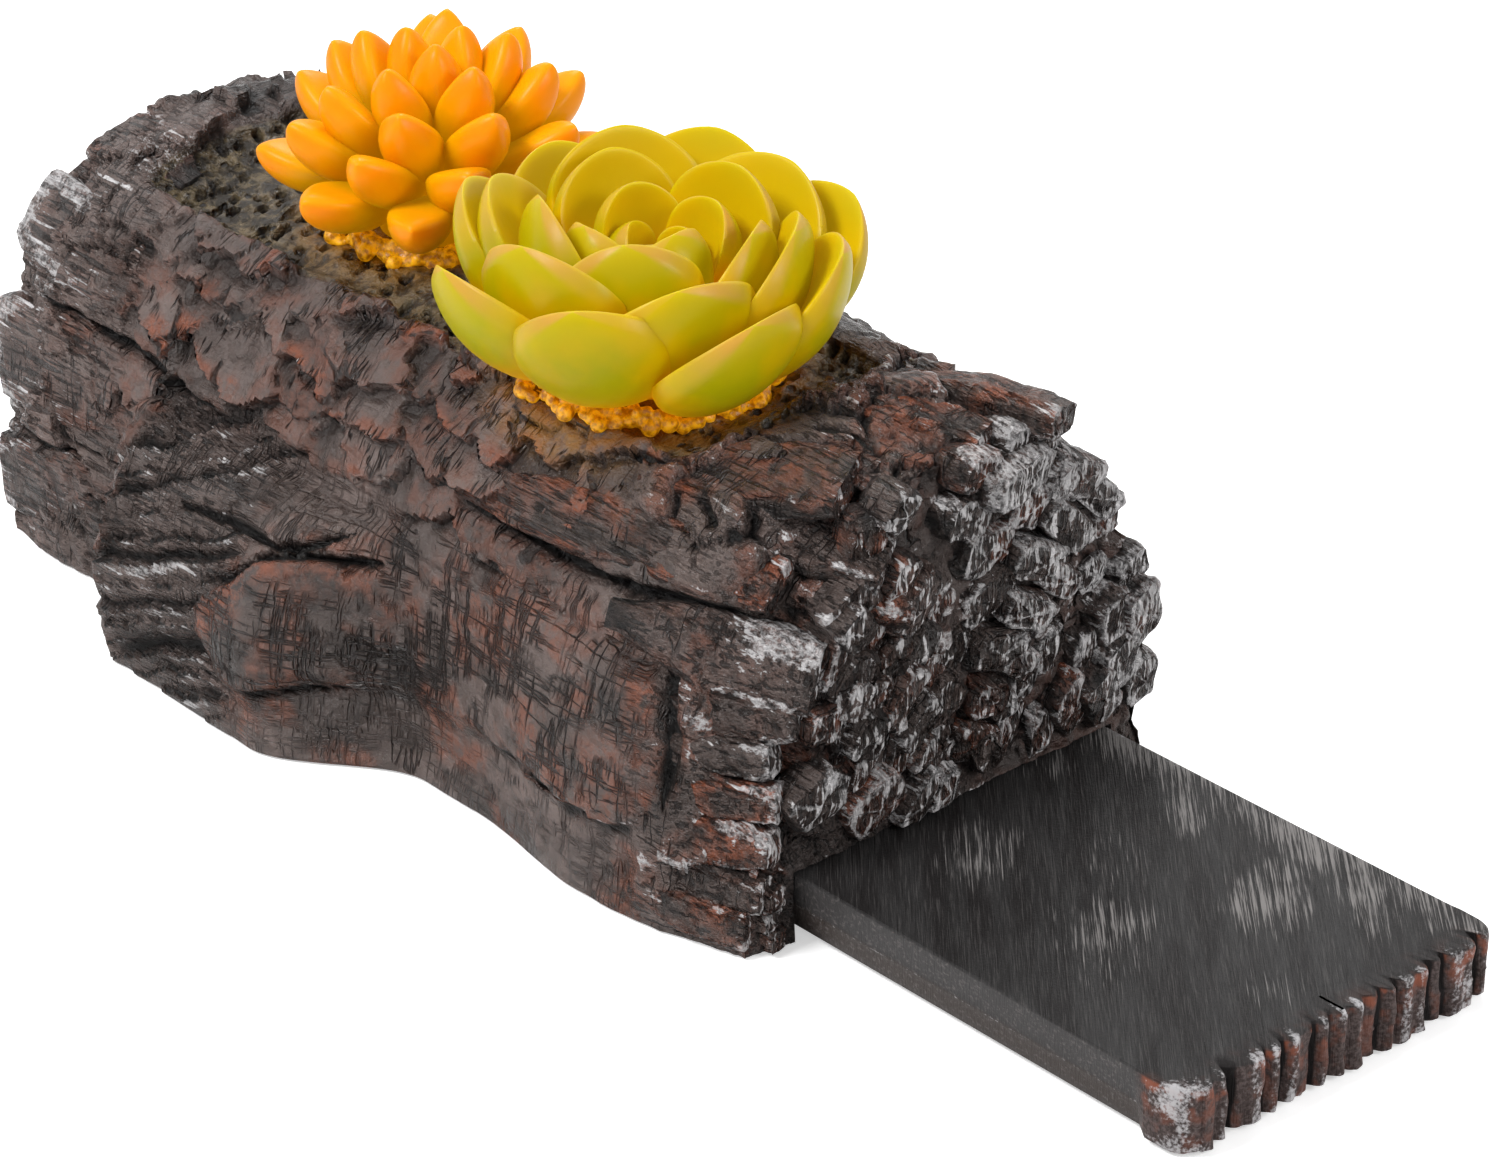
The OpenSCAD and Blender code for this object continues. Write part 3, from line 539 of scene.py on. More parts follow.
def carve_bark():
    """The bark's points, and on each its cracks, frost, rust and earth, with painted shade in its hollows and under its
    flakes.
    """
    grid, kinds, angles = bark_grid()
    shape = grid.shape[:2]
    p = grid.reshape(-1, 3)
    n = blurred(normals_of(grid), 2).reshape(-1, 3)
    n /= np.maximum(1e-9, np.linalg.norm(n, axis=1, keepdims=True))
    x, y, z = p.T
    kind = np.repeat(kinds, shape[1])
    t = angles.reshape(-1)
    left = smooth((t - 88) / 14)

    front = np.where(kind > 0.5, 1.0, 0.85 * smooth((x - 84) / 14) * (kind > -0.5))
    rear = np.where(kind < -0.5, 1.0, 0.8 * smooth((-x - 84) / 12))
    bend = np.stack([layered(p / 11.0, 2, 5 + k) for k in range(3)], axis=1)
    sunk = trough(x, y) / TROUGH_DEPTH + 0.12 * bend[:, 0]
    soil = smooth((sunk - 0.3) / 0.2) * (kind == 0)
    lip = np.exp(-((sunk - 0.2) / 0.14) ** 2) * (kind == 0) * smooth((60 - x) / 10)
    top_plates = smooth((x - 58) / 12) * smooth((z - 58) / 10) * (kind == 0) * (1 - soil)
    branch = left * smooth((x + 53) / 4) * smooth((84 - x) / 6) * smooth((52 - z) / 8) * (kind == 0)
    stub = left * smooth((-34 - x) / 10) * smooth((x + 60) / 3) * smooth((-46 - y) / 4) * (kind == 0)
    facet = left * smooth((x - 76) / 8) * smooth((66 - z) / 10) * (kind > -0.5)
    slabs = left * smooth((-62 - x) / 14) * (kind < 0.5)
    scales = left * (1 - branch) * (1 - soil) * (1 - slabs) * smooth((72 - x) / 14)

    warped = p + 2.4 * bend
    relief = 0.9 * lip
    plate_by = inside_by(x, z, PLATE) + 0.7 * bend[:, 1] + 0.4 * grain(p / 2.5, 73)
    plate_by = np.where((left > 0.5) & (kind == 0) & (y < -34), plate_by, -99.0)
    soft_edge = 1.5 + 5 * smooth((24 - z) / 6) * smooth((46 - x) / 12)
    plate = smooth((plate_by + 0.6) / soft_edge)
    joined = smooth((x - 6) / 12) * smooth((72 - x) / 8) * smooth((z - 30) / 8)
    plate = np.maximum(plate, joined * branch)
    old_wood = branch * (1 - plate) * smooth((-10 - x) / 8)

    blocks = Chips(warped / np.array([9.5, 9.0, 7.5]), 3)
    ragged = smooth(blocks.gap / 0.16)
    step = (blocks.tone - 0.5) * 3.4 - 1.1 * (1 - ragged)
    tilt = blocks.lie[:, 2] * -1.2
    relief += front * (1 - soil) * (0.45 * (step + tilt) - 1.6)
    small = Chips(warped / np.array([4.2, 4.0, 3.4]), 17)
    small_step = (small.tone - 0.5) * 1.3 - 0.55 * (1 - smooth(small.gap / 0.2))
    relief += small_step * (0.9 * front + 0.55 * rear + 0.3 * stub + 0.1 * scales + 0.2 * slabs)

    tongues = Chips((p + 1.8 * bend) / np.array([17.0, 9.5, 9.5]), 29)
    tongue_edge = smooth(tongues.gap / 0.14)
    tongue = (tongues.tone - 0.45) * 2.6 + tongues.lie[:, 0] * 2.6 - 1.2 * (1 - tongue_edge)
    relief += np.maximum(top_plates, 0.55 * slabs) * tongue * (1 - 0.6 * front)

    curl = np.stack([layered(p / 4.5, 2, 15 + k) for k in range(3)], axis=1)
    flakes = Chips((p + 2.6 * bend + 1.5 * curl) / np.array([11.5, 9.0, 8.0]), 41)
    flake = (flakes.tone - 0.5) * 1.0 - flakes.lie[:, 2] * 2.3 + flakes.lie[:, 0] * 0.7
    other_side = (1 - left) * (1 - soil) * (1 - front)
    relief += flake * (scales + 0.9 * other_side + 0.12 * branch + 0.4 * slabs)

    ridges = np.abs(grain(np.stack([x / 26, (y + bend[:, 1]) / 2.4, (z + bend[:, 2]) / 2.4], axis=1), 61))
    relief += (0.55 - ridges) * (0.9 * slabs + 0.8 * facet + 0.6 * top_plates + 0.35 * other_side)

    folds = left * smooth((x - 56) / 12) * smooth((26 - z) / 8) * (kind == 0)
    fold = np.abs(grain(np.stack([(x + 2 * bend[:, 0] - 0.4 * z) / 4.0, y / 30, z / 11], axis=1), 79))
    relief += folds * (1.9 * (0.35 - fold))

    hatch_up = np.abs(grain(np.stack([(x + bend[:, 0]) / 1.7, y / 30, z / 9], axis=1), 67))
    hatch_along = np.abs(grain(np.stack([x / 13, y / 20, (z + bend[:, 2]) / 1.9], axis=1), 71))
    relief += branch * plate * (0.5 * np.minimum(hatch_up, hatch_along) - 0.1)
    relief += branch * (2.0 * plate - 1.2)

    layer = (z - 0.42 * (x + 50) + 1.6 * bend[:, 2] + 0.5 * curl[:, 0]) / 4.0
    layer_part = layer - np.floor(layer)
    layer_tone = scatter(np.floor(layer).astype(np.int64), np.zeros(len(p), np.int64), np.zeros(len(p), np.int64), 5)
    relief += old_wood * (3.0 * (layer_tone - 0.5) + 1.8 * (layer_part - 0.5))
    steep = smooth((0.75 - np.abs(n[:, 2])) / 0.2)
    layer_line = np.minimum(layer_part, 1 - layer_part) * 4.0 / 0.6 + 4 * (1 - smooth(old_wood * steep * 2))
    layer_line = layer_line + 1.2 * smooth(layered(p / 6.0, 2, 77) / 0.3)

    pits = Chips((p + 0.8 * bend) / 3.1, 83)
    open_pit = smooth((0.42 - pits.near) / 0.2) * (pits.tone > 0.35)
    lumps = layered(p / 5.5, 3, 91)
    relief += soil * (1.0 * lumps - 1.5 * open_pit)

    rough = layered(p / 3.2, 3, 101)
    relief += (0.32 + 0.25 * front) * rough * (1 - 0.5 * branch)
    relief += 1.1 * layered(p / 24.0, 2, 111) * (1 - soil) * (1 - front)

    deep, crack_away = crack_depths(p, n)
    relief -= deep * (1 - soil)
    crack_away = np.minimum(crack_away, layer_line)

    seat = np.zeros(len(p))
    for (cx, cy), r in ((GREEN, GREEN_SEAT), (ORANGE, ORANGE_SEAT)):
        away = np.hypot(x - cx, y - cy)
        seat = np.maximum(seat, smooth((r + 0.6 - away) / 1.2) * (z > 60))

    foot = smooth(z / 7.0)
    inner_edge = np.where(kind > 0.5, smooth((np.hypot(np.maximum(0, np.abs(y) - MOUTH_HALF),
                                                       np.maximum(0, z - MOUTH_H))) / 4.0), 1.0)
    relief *= (0.25 + 0.75 * foot) * (0.35 + 0.65 * inner_edge)
    moved = p + n * relief[:, None]
    moved[:, 2] = np.where(seat > 0, moved[:, 2] * (1 - seat) + np.minimum(moved[:, 2], SEAT_Z) * seat, moved[:, 2])
    moved[:, 2] = np.maximum(0, moved[:, 2])
    out = moved.reshape(grid.shape)
    out[:, 0, 2] = 0
    out[:, -1, 2] = 0

    level = relief.reshape(shape)
    edge = (level - blurred(level, 3)).reshape(-1)
    broad = (level - blurred(level, 9)).reshape(-1)
    frost_zone = np.clip(0.95 * front + 0.9 * facet + 0.9 * old_wood + 0.65 * slabs * smooth((-78 - x) / 14)
                         + 0.55 * top_plates + 0.5 * rear + 0.6 * folds + 0.05 + 0.1 * scales, 0, 1)
    patch = layered(p / 13.0, 2, 131)
    frost = smooth((edge + 0.35 * broad - 0.12) / 0.8) * frost_zone * np.clip(0.75 + 0.5 * patch, 0, 1.2)
    plate_edge = np.exp(-((plate_by - 0.9) / 0.9) ** 2)
    frost = np.maximum(frost, plate_edge * smooth((x - 62) / 12) * np.clip(0.6 + patch, 0, 1))
    strata_frost = smooth((layer_part - 0.35) / 0.45) * np.clip(0.62 + 0.6 * layered(p / 5.0, 3, 133), 0, 0.9)
    frost = np.maximum(frost, old_wood * strata_frost)
    # Hollows lower than their neighbours, the soil's pits and the lip into the mouth get the dark mark: painted shade,
    # along with the dark of the cracks.
    crack = np.clip(smooth((-edge - 0.22) / 0.75) + 0.25 * smooth((-broad - 0.6) / 1.2), 0, 1)
    crack = np.maximum(crack * (1 - 0.45 * scales), soil * open_pit)
    crack = np.maximum(crack, 0.55 * np.where(kind > 0.5, 1.0, 0.0))
    # Dark lines along the lower border of each flake, under its lip: painted shadow of the overlapping flakes.
    flake_line = flakes.gap * 6 + 2.5 * smooth((flakes.lie[:, 2] + 0.02) / 0.3)
    flake_line = flake_line + 1.4 * smooth((layered(p / 7.0, 2, 161) - 0.05) / 0.3)
    flake_line = flake_line + 3 * (1 - np.clip(scales + 0.8 * other_side + 0.3 * slabs, 0, 1))
    rust_zone = 0.45 * branch + 0.26 * scales + 0.3 * facet + 0.22 * front + 0.12 * slabs + 0.4 * top_plates
    rust = rust_zone * smooth((layered(p / 9.0, 3, 151) + 0.7 * edge + 0.12) / 0.7)
    rim_rust = plate * smooth((9 - plate_by) / 9) * (smooth((18 - x) / 14) + smooth((x - 60) / 12))
    rust = np.maximum(rust * (1 - old_wood), rim_rust * np.clip(0.55 + layered(p / 6.0, 2, 153), 0, 1))
    lip_rust = scales * smooth((-0.12 - flakes.lie[:, 2]) / 0.25) * np.clip(0.3 + 1.2 * layered(p / 8.0, 2, 157), 0, 0.8)
    rust = np.maximum(rust, lip_rust)
    tone = 0.5 * blocks.tone * front + 0.6 * flakes.tone * (1 - front) + 0.4 * patch + 0.25
    rear_top = left * smooth((-72 - x) / 10) * smooth((z - 44) / 8)
    tone = tone + 0.3 * slabs * smooth((-70 - x) / 10) + 0.5 * rear_top + 0.25 * old_wood
    tone = tone - 0.3 * plate * branch * smooth((40 - x) / 30)
    rear_low = 0.75 * left * smooth((-78 - x) / 10) * smooth((44 - z) / 8)
    frost = np.maximum(frost, np.maximum(rear_top, rear_low) * np.clip(0.55 + 0.5 * patch, 0, 0.8))
    crack = crack * (1 - 0.5 * rear_top)
    marks = {
        "crack": crack,
        "frost": np.clip(frost, 0, 1),
        "rust": np.clip(rust * (1 - soil), 0, 1),
        "soil": soil,
        "tone": np.clip(tone, 0, 1),
        "hatch": branch * (0.35 + 0.65 * plate),
        "crack_away": np.clip(crack_away, 0, 4),
        "flake_line": np.clip(flake_line, 0, 4),
        "sawn": np.zeros(len(p)),
        "slab": np.clip(0.8 * slabs + facet + old_wood + 0.7 * top_plates + 0.5 * other_side, 0, 1),
    }
    return out, marks


def log_mesh():
    """The carved bark with its hollow and mouth, closed at its foot."""
    bark, marks = carve_bark()
    mouth_y, mouth_z = mouth_points()
    hollow = arch_points(HOLLOW_HALF, HOLLOW_H, LOG_SQUARE)
    inside = [np.stack([np.full(ROWS, HOLLOW_END), mouth_y, mouth_z], axis=1)]
    for place_x, s in ((HOLLOW_END, 1.0), (45, 1.0), (0, 1.0), (-45, 1.0), (-HOLLOW_END, 1.0), (-HOLLOW_END, 0.03)):
        inside.append(np.stack([np.full(ROWS, place_x), hollow[1] * s, hollow[2] * s], axis=1))
    grid = np.concatenate([bark, np.array(inside)])
    columns = len(grid)
    points = grid.reshape(-1, 3)
    faces = grid_faces(columns, ROWS)
    faces.append([i * ROWS for i in range(columns)])
    faces.append([i * ROWS + ROWS - 1 for i in reversed(range(columns))])
    faces.append(list(range(ROWS)))
    faces.append([(columns - 1) * ROWS + j for j in reversed(range(ROWS))])
    faces.append([0, (columns - 1) * ROWS, columns * ROWS - 1, ROWS - 1])
    spare = (columns - len(bark)) * ROWS
    # Inside the hollow the dark mark is full, near-black: painted shade.
    for key in marks:
        fill = {"crack": 1.0, "crack_away": 4.0, "flake_line": 4.0}.get(key, 0.0)
        marks[key] = np.concatenate([marks[key], np.full(spare, fill)])
    return mesh_of("bark_log", points, faces, marks)


class Pile:
    """Closed slabs of bark gathered into one mesh, with the same values on their points as the bark has."""

    KEYS = ("crack", "frost", "rust", "soil", "tone", "hatch", "crack_away", "flake_line", "sawn", "slab")

    def __init__(self):
        self.points = []
        self.faces = []
        self.marks = {key: [] for key in self.KEYS}
        self.count = 0

    def slab(self, rear, front, up, wide, thick, seed, around, stations, frost, rust, pale=0.0, sink=1.5):
        """One slab from its buried rear end to its broken front end."""
        rear, front, up = [np.array(v, float) for v in (rear, front, up)]
        way = front - rear
        ahead = way / np.linalg.norm(way)
        high = up - ahead * (up @ ahead)
        high /= np.linalg.norm(high)
        across = np.cross(high, ahead)
        angle = np.linspace(0, 2 * math.pi, around, endpoint=False)
        ring_b = np.sign(np.cos(angle)) * np.abs(np.cos(angle)) ** 0.45
        ring_c = np.sign(np.sin(angle)) * np.abs(np.sin(angle)) ** 0.45
        corner = np.abs(np.sin(2 * angle)) ** 2
        rows = [(s, 1.0) for s in np.linspace(0, 1, stations)] + [(1.0, r) for r in (0.86, 0.62, 0.36, 0.1)]
        pts = []
        push = []
        shares = []
        for s, r in rows:
            grow = 0.35 + 0.65 * smooth(s / 0.5)
            grow = grow * (1 - 0.1 * smooth((s - 0.88) / 0.12)) * r
            middle = rear + way * s + ahead * 0.6 * (1 - r) - high * sink * (1 - s) ** 2
            side = np.outer(ring_b * wide / 2, across) + np.outer(ring_c * thick / 2, high)
            pts.append(middle + grow * side)
            out = side / np.linalg.norm(side, axis=1, keepdims=True)
            push.append(out if r == 1.0 else np.tile(ahead, (around, 1)))
            shares.append(np.full(around, s))
        pts = np.concatenate(pts)
        push = np.concatenate(push)
        s = np.concatenate(shares)
        cap = np.arange(len(pts)) >= stations * around
        fresh = pts + 13.0 * seed
        lumps = layered(fresh / 6.0, 3, 401)
        chips = Chips(fresh / np.array([4.0, 3.0, 2.6]), 403)
        lines = np.abs(grain(np.stack([(pts @ ahead) / 16, (pts @ across) / 1.5 + seed, (pts @ high) / 1.5], axis=1), 409))
        relief = 0.4 * lumps + 0.6 * (chips.tone - 0.5) - 0.3 * (1 - smooth(chips.gap / 0.2))
        relief = relief + np.where(cap, 0.0, 0.9 * (0.3 - lines))
        relief = relief * (0.4 + 0.6 * s)
        pts = pts + push * relief[:, None]
        pts[:, 2] = np.maximum(pts[:, 2], 0.3)
        over_mouth = (np.abs(pts[:, 1]) < MOUTH_HALF + 0.8) & (pts[:, 2] < MOUTH_H + 0.3)
        pts[:, 2] = np.where(over_mouth, MOUTH_H + 0.3, pts[:, 2])
        edge = np.tile(corner, len(rows))
        upper = np.tile(smooth(ring_c * 2), len(rows))
        tone = 0.5 + 0.5 * math.sin(12.9 * seed)
        ring = np.concatenate([np.full(around, r) for _, r in rows])
        face = 0.12 + 0.45 * smooth((pale - 0.12) / 0.06)
        rim = np.where(cap, np.maximum(face, smooth((ring - 0.66) / 0.2)), smooth((s - 0.9) / 0.08))
        # Pale wear of the corners and the broken end's rim, stronger on the upper corners and on faces that turn up;
        # that pallor on top is painted top light, and all of it goes into the frost mark.
        sky = np.clip(push[:, 2] + 0.1, 0, 1) * np.where(cap, 0.0, 1.0)
        worn = edge * smooth((s - 0.35) / 0.5) * (0.5 + 0.5 * upper) + 0.6 * rim
        worn = worn + 0.55 * sky * smooth((s - 0.25) / 0.4) * smooth((frost - 0.9) / 0.3)
        worn = worn * np.clip(0.8 + 1.1 * lumps, 0, 1.4)
        worn = worn + 0.4 * smooth((chips.tone - 0.66) / 0.3) * smooth((s - 0.5) / 0.4)
        values = {
            # The dark mark: painted shade toward the buried rear end and along the slab's lower side, and the dark of
            # the gaps between chips.
            "crack": np.clip(0.8 * (1 - smooth(s / 0.3)) + 0.5 * (1 - upper) * (1 - cap)
                             + 0.6 * smooth((0.12 - chips.gap) / 0.1), 0, 1),
            "frost": np.clip(frost * (worn + 0.12 * smooth((s - 0.3) / 0.5)) + 1.1 * pale * smooth(s / 0.3), 0, 1),
            "rust": np.clip(rust * (0.4 + lumps + 0.9 * edge) * 1.2, 0, 1),
            "tone": np.clip(0.15 + 0.5 * tone + pale + 0.15 * lumps, 0, 1),
            "crack_away": np.full(len(pts), 4.0),
            "flake_line": np.full(len(pts), 4.0),
            "sawn": np.where(cap, 1.0, 0.0),
            "slab": np.where(cap, 0.0, 1.0),
        }
        for key in self.KEYS:
            self.marks[key].append(values.get(key, np.zeros(len(pts))))
        first = self.count
        self.points.append(pts)
        self.faces += grid_faces(len(rows), around, first, closed_rows=True)
        self.faces.append([first + k for k in range(around)])
        last = first + (len(rows) - 1) * around
        self.faces.append([last + k for k in reversed(range(around))])
        self.count += len(pts)

    def mesh(self, name):
        marks = {key: np.concatenate(values) for key, values in self.marks.items()}
        return mesh_of(name, np.concatenate(self.points), self.faces, marks)


# The long slabs: buried rear end, broken front end, the way they face, width, thickness, frost, rust, paleness
SLABS = [
    ((76, -3, 79.0), (101, 8, 76.5), (0.1, 0, 1), 9, 5, 0.5, 0.6, 0.1),
    ((76, 12, 79.5), (106, 21, 77.5), (0.1, 0.2, 1), 9, 6, 0.6, 0.5, 0.1),
    ((62, -33, 71.0), (96, -18, 75.0), (0, -0.3, 1), 16, 5, 0.7, 0.5, 0.0),
    ((78, 4, 75.0), (107, 12, 69.5), (0.1, 0.1, 1), 18, 9, 1.25, 0.0, 0.2),
    ((82, 22, 72.0), (105.5, 24.5, 64.5), (0.1, 0.6, 1), 10, 9, 1.1, 0.1, 0.2),
    ((76, -33, 69.0), (104, -17, 63.0), (0.1, -0.5, 1), 11, 6, 1.0, 0.1, 0.0),
    ((90, -28, 62.0), (105.5, -12, 55.0), (0.2, -0.5, 0.8), 10, 7, 0.9, 0.4, 0.0),
    ((72, -38, 63.5), (94, -31.5, 60.0), (0.1, -0.7, 0.7), 10, 5, 0.5, 0.6, 0.0),
    ((20, -44, 57.5), (79, -37, 62.5), (0, -0.9, 0.45), 11, 5, 0.2, 0.5, 0.0),
    ((70, -48, 52.0), (103, -31, 46.5), (0.45, -0.85, 0.3), 14, 7, 1.25, 0.1, 0.1),
    ((80, -47, 39.0), (102, -34, 40), (0.5, -0.85, 0.1), 8, 6, 1.0, 0.1, 0.0),
    ((78, -49, 31.5), (100, -38, 33.5), (0.5, -0.85, 0), 7, 6, 0.9, 0.0, 0.1),
    ((84, -49, 25.0), (102, -38.5, 26), (0.5, -0.85, 0.1), 7, 6, 1.0, 0.5, 0.0),
    ((82, -50, 18.5), (103, -41, 18.5), (0.4, -0.9, 0.1), 8, 6, 1.1, 0.6, 0.0),
    ((86, -51, 12.0), (103.5, -43, 11), (0.4, -0.9, 0), 7, 6, 0.9, 0.2, 0.0),
    ((80, -53, 5.5), (102, -45, 5), (0.4, -0.9, 0), 8, 6, 0.9, 0.5, 0.0),
    ((93, -44, 10.5), (105, -41.8, 10), (0.3, -0.9, 0.1), 5, 5, 1.0, 0.4, 0.0),
    ((93, -44, 6.0), (104.2, -41.8, 5.5), (0.3, -0.9, 0), 5, 5, 1.0, 0.1, 0.0),
    ((93, -44, 2.5), (105, -41.5, 2), (0.3, -0.9, 0), 5, 5, 0.9, 0.4, 0.0),
    ((-58, -40, 60), (-105, -35, 62), (0, -0.8, 0.6), 17, 7, 0.9, 0.1, 0.45),
    ((-60, -44, 41), (-105.5, -44, 37), (0, -1, 0.1), 22, 6, 0.6, 0.2, 0.3),
    ((-64, -46, 18), (-104.5, -46, 12), (0, -1, 0), 17, 6, 0.6, 0.2, 0.3),
    ((-76, -22, 74), (-101, -20, 73), (0, -0.3, 1), 15, 6, 0.3, 0.2, 0.2),
]


def front_slabs():
    """The long slabs of the front left and the rows of broken blocks over the front end."""
    pile = Pile()
    for k, (rear, front, up, wide, thick, frost, rust, pale) in enumerate(SLABS):
        pile.slab(rear, front, up, wide, thick, 1.7 * k + 0.3, 44, 30, frost, rust, pale)
    t, y, z = section(HALF, 1.0)
    rows = ((0.05, 17), (0.18, 15), (0.31, 13), (0.44, 11), (0.57, 9), (0.70, 7), (0.83, 6))
    for k, (inset, count) in enumerate(rows):
        for i in range(count):
            share = (i + 0.5 + 0.3 * (k % 2) + 0.2 * sind(137 * i + 71 * k)) / (count + 0.3)
            angle = 5 + 170 * share
            here = np.array([np.interp(angle, t, y), np.interp(angle, t, z)])
            ahead = np.array([np.interp(angle + 3, t, y), np.interp(angle + 3, t, z)])
            away = (ahead - here) / np.linalg.norm(ahead - here)
            spot = here * (1 - inset) + np.array([0, 13.0]) * inset
            if spot[1] < MOUTH_H + 2.5 and abs(spot[0]) < MOUTH_HALF + 2:
                continue
            roll = math.radians(16 * sind(83 * i + 47 * k))
            radial = np.array([away[1], -away[0]])
            up = radial * math.cos(roll) + away * math.sin(roll)
            tip = HALF + 1.4 + 1.9 * sind(97 * i + 53 * k)
            sway = 2.5 * sind(61 * i + 29 * k)
            rear = (tip - 11, spot[0] - 0.25 * sway, spot[1] + 1.0)
            front = (tip, spot[0] + 0.5 * sway, spot[1] - 0.8)
            wide = 10.5 * (1 + 0.28 * sind(113 * i + 17 * k))
            thick = 7.6 * (1 + 0.22 * sind(71 * i + 37 * k))
            frost = 0.9 + 0.3 * sind(59 * i + 91 * k) + 0.3 * smooth((spot[0] - 10) / 14)
            rust = max(0.0, 0.5 * sind(149 * i + 23 * k))
            seed = 40 + 3.1 * i + 7.7 * k
            pale = 0.1 * smooth((spot[0] - 6) / 14)
            pile.slab(rear, front, (0.05, up[0], up[1]), wide, thick, seed, 30, 11, frost, rust, pale)
    return outward(pile.mesh("front_bark_slabs"))


def outward(mesh):
    """Turns every face of a closed mesh outwards."""
    shell = bmesh.new()
    shell.from_mesh(mesh)
    bmesh.ops.recalc_face_normals(shell, faces=shell.faces)
    shell.to_mesh(mesh)
    shell.free()
    return mesh


# The panel lies across the back slope: its middle, its length, its slope and its face
PANEL_MIDDLE = (-40.0, 31.95, 60.24)
PANEL_SIZE = (56.0, 30.0, 2.4)
PANEL_TILT = 40.0
PANEL_AXES = np.array([[1, 0, 0], [0, sind(PANEL_TILT), -cosd(PANEL_TILT)], [0, cosd(PANEL_TILT), sind(PANEL_TILT)]])
POCKET_AIR = 0.3


def panel_block(length, width, low, high):
    """The eight corners of a block on the panel's slope, between two depths along its face's normal."""
    flat = [(x, y) for x, y in ((-1, -1), (1, -1), (1, 1), (-1, 1))]
    corners = [(x * length / 2, y * width / 2, h) for h in (low, high) for x, y in flat]
    return np.array(corners) @ PANEL_AXES + np.array(PANEL_MIDDLE)


BLOCK_FACES = [[0, 3, 2, 1], [4, 5, 6, 7], [0, 1, 5, 4], [1, 2, 6, 5], [2, 3, 7, 6], [3, 0, 4, 7]]


def cut_pocket(piece):
    """Cuts the panel's pocket through the bark of the back."""
    corners = panel_block(PANEL_SIZE[0] + 2 * POCKET_AIR, PANEL_SIZE[1] + 2 * POCKET_AIR, -PANEL_SIZE[2], 30)
    tool = bpy.data.objects.new("pocket", outward(mesh_of("pocket", corners, BLOCK_FACES)))
    scene.collection.objects.link(tool)
    cut = piece.modifiers.new("pocket", "BOOLEAN")
    cut.operation = "DIFFERENCE"
    cut.solver = "MANIFOLD"
    cut.object = tool
    mesh = as_mesh(piece, "bark_log")
    bpy.data.objects.remove(tool)
    return mesh


# Finishes

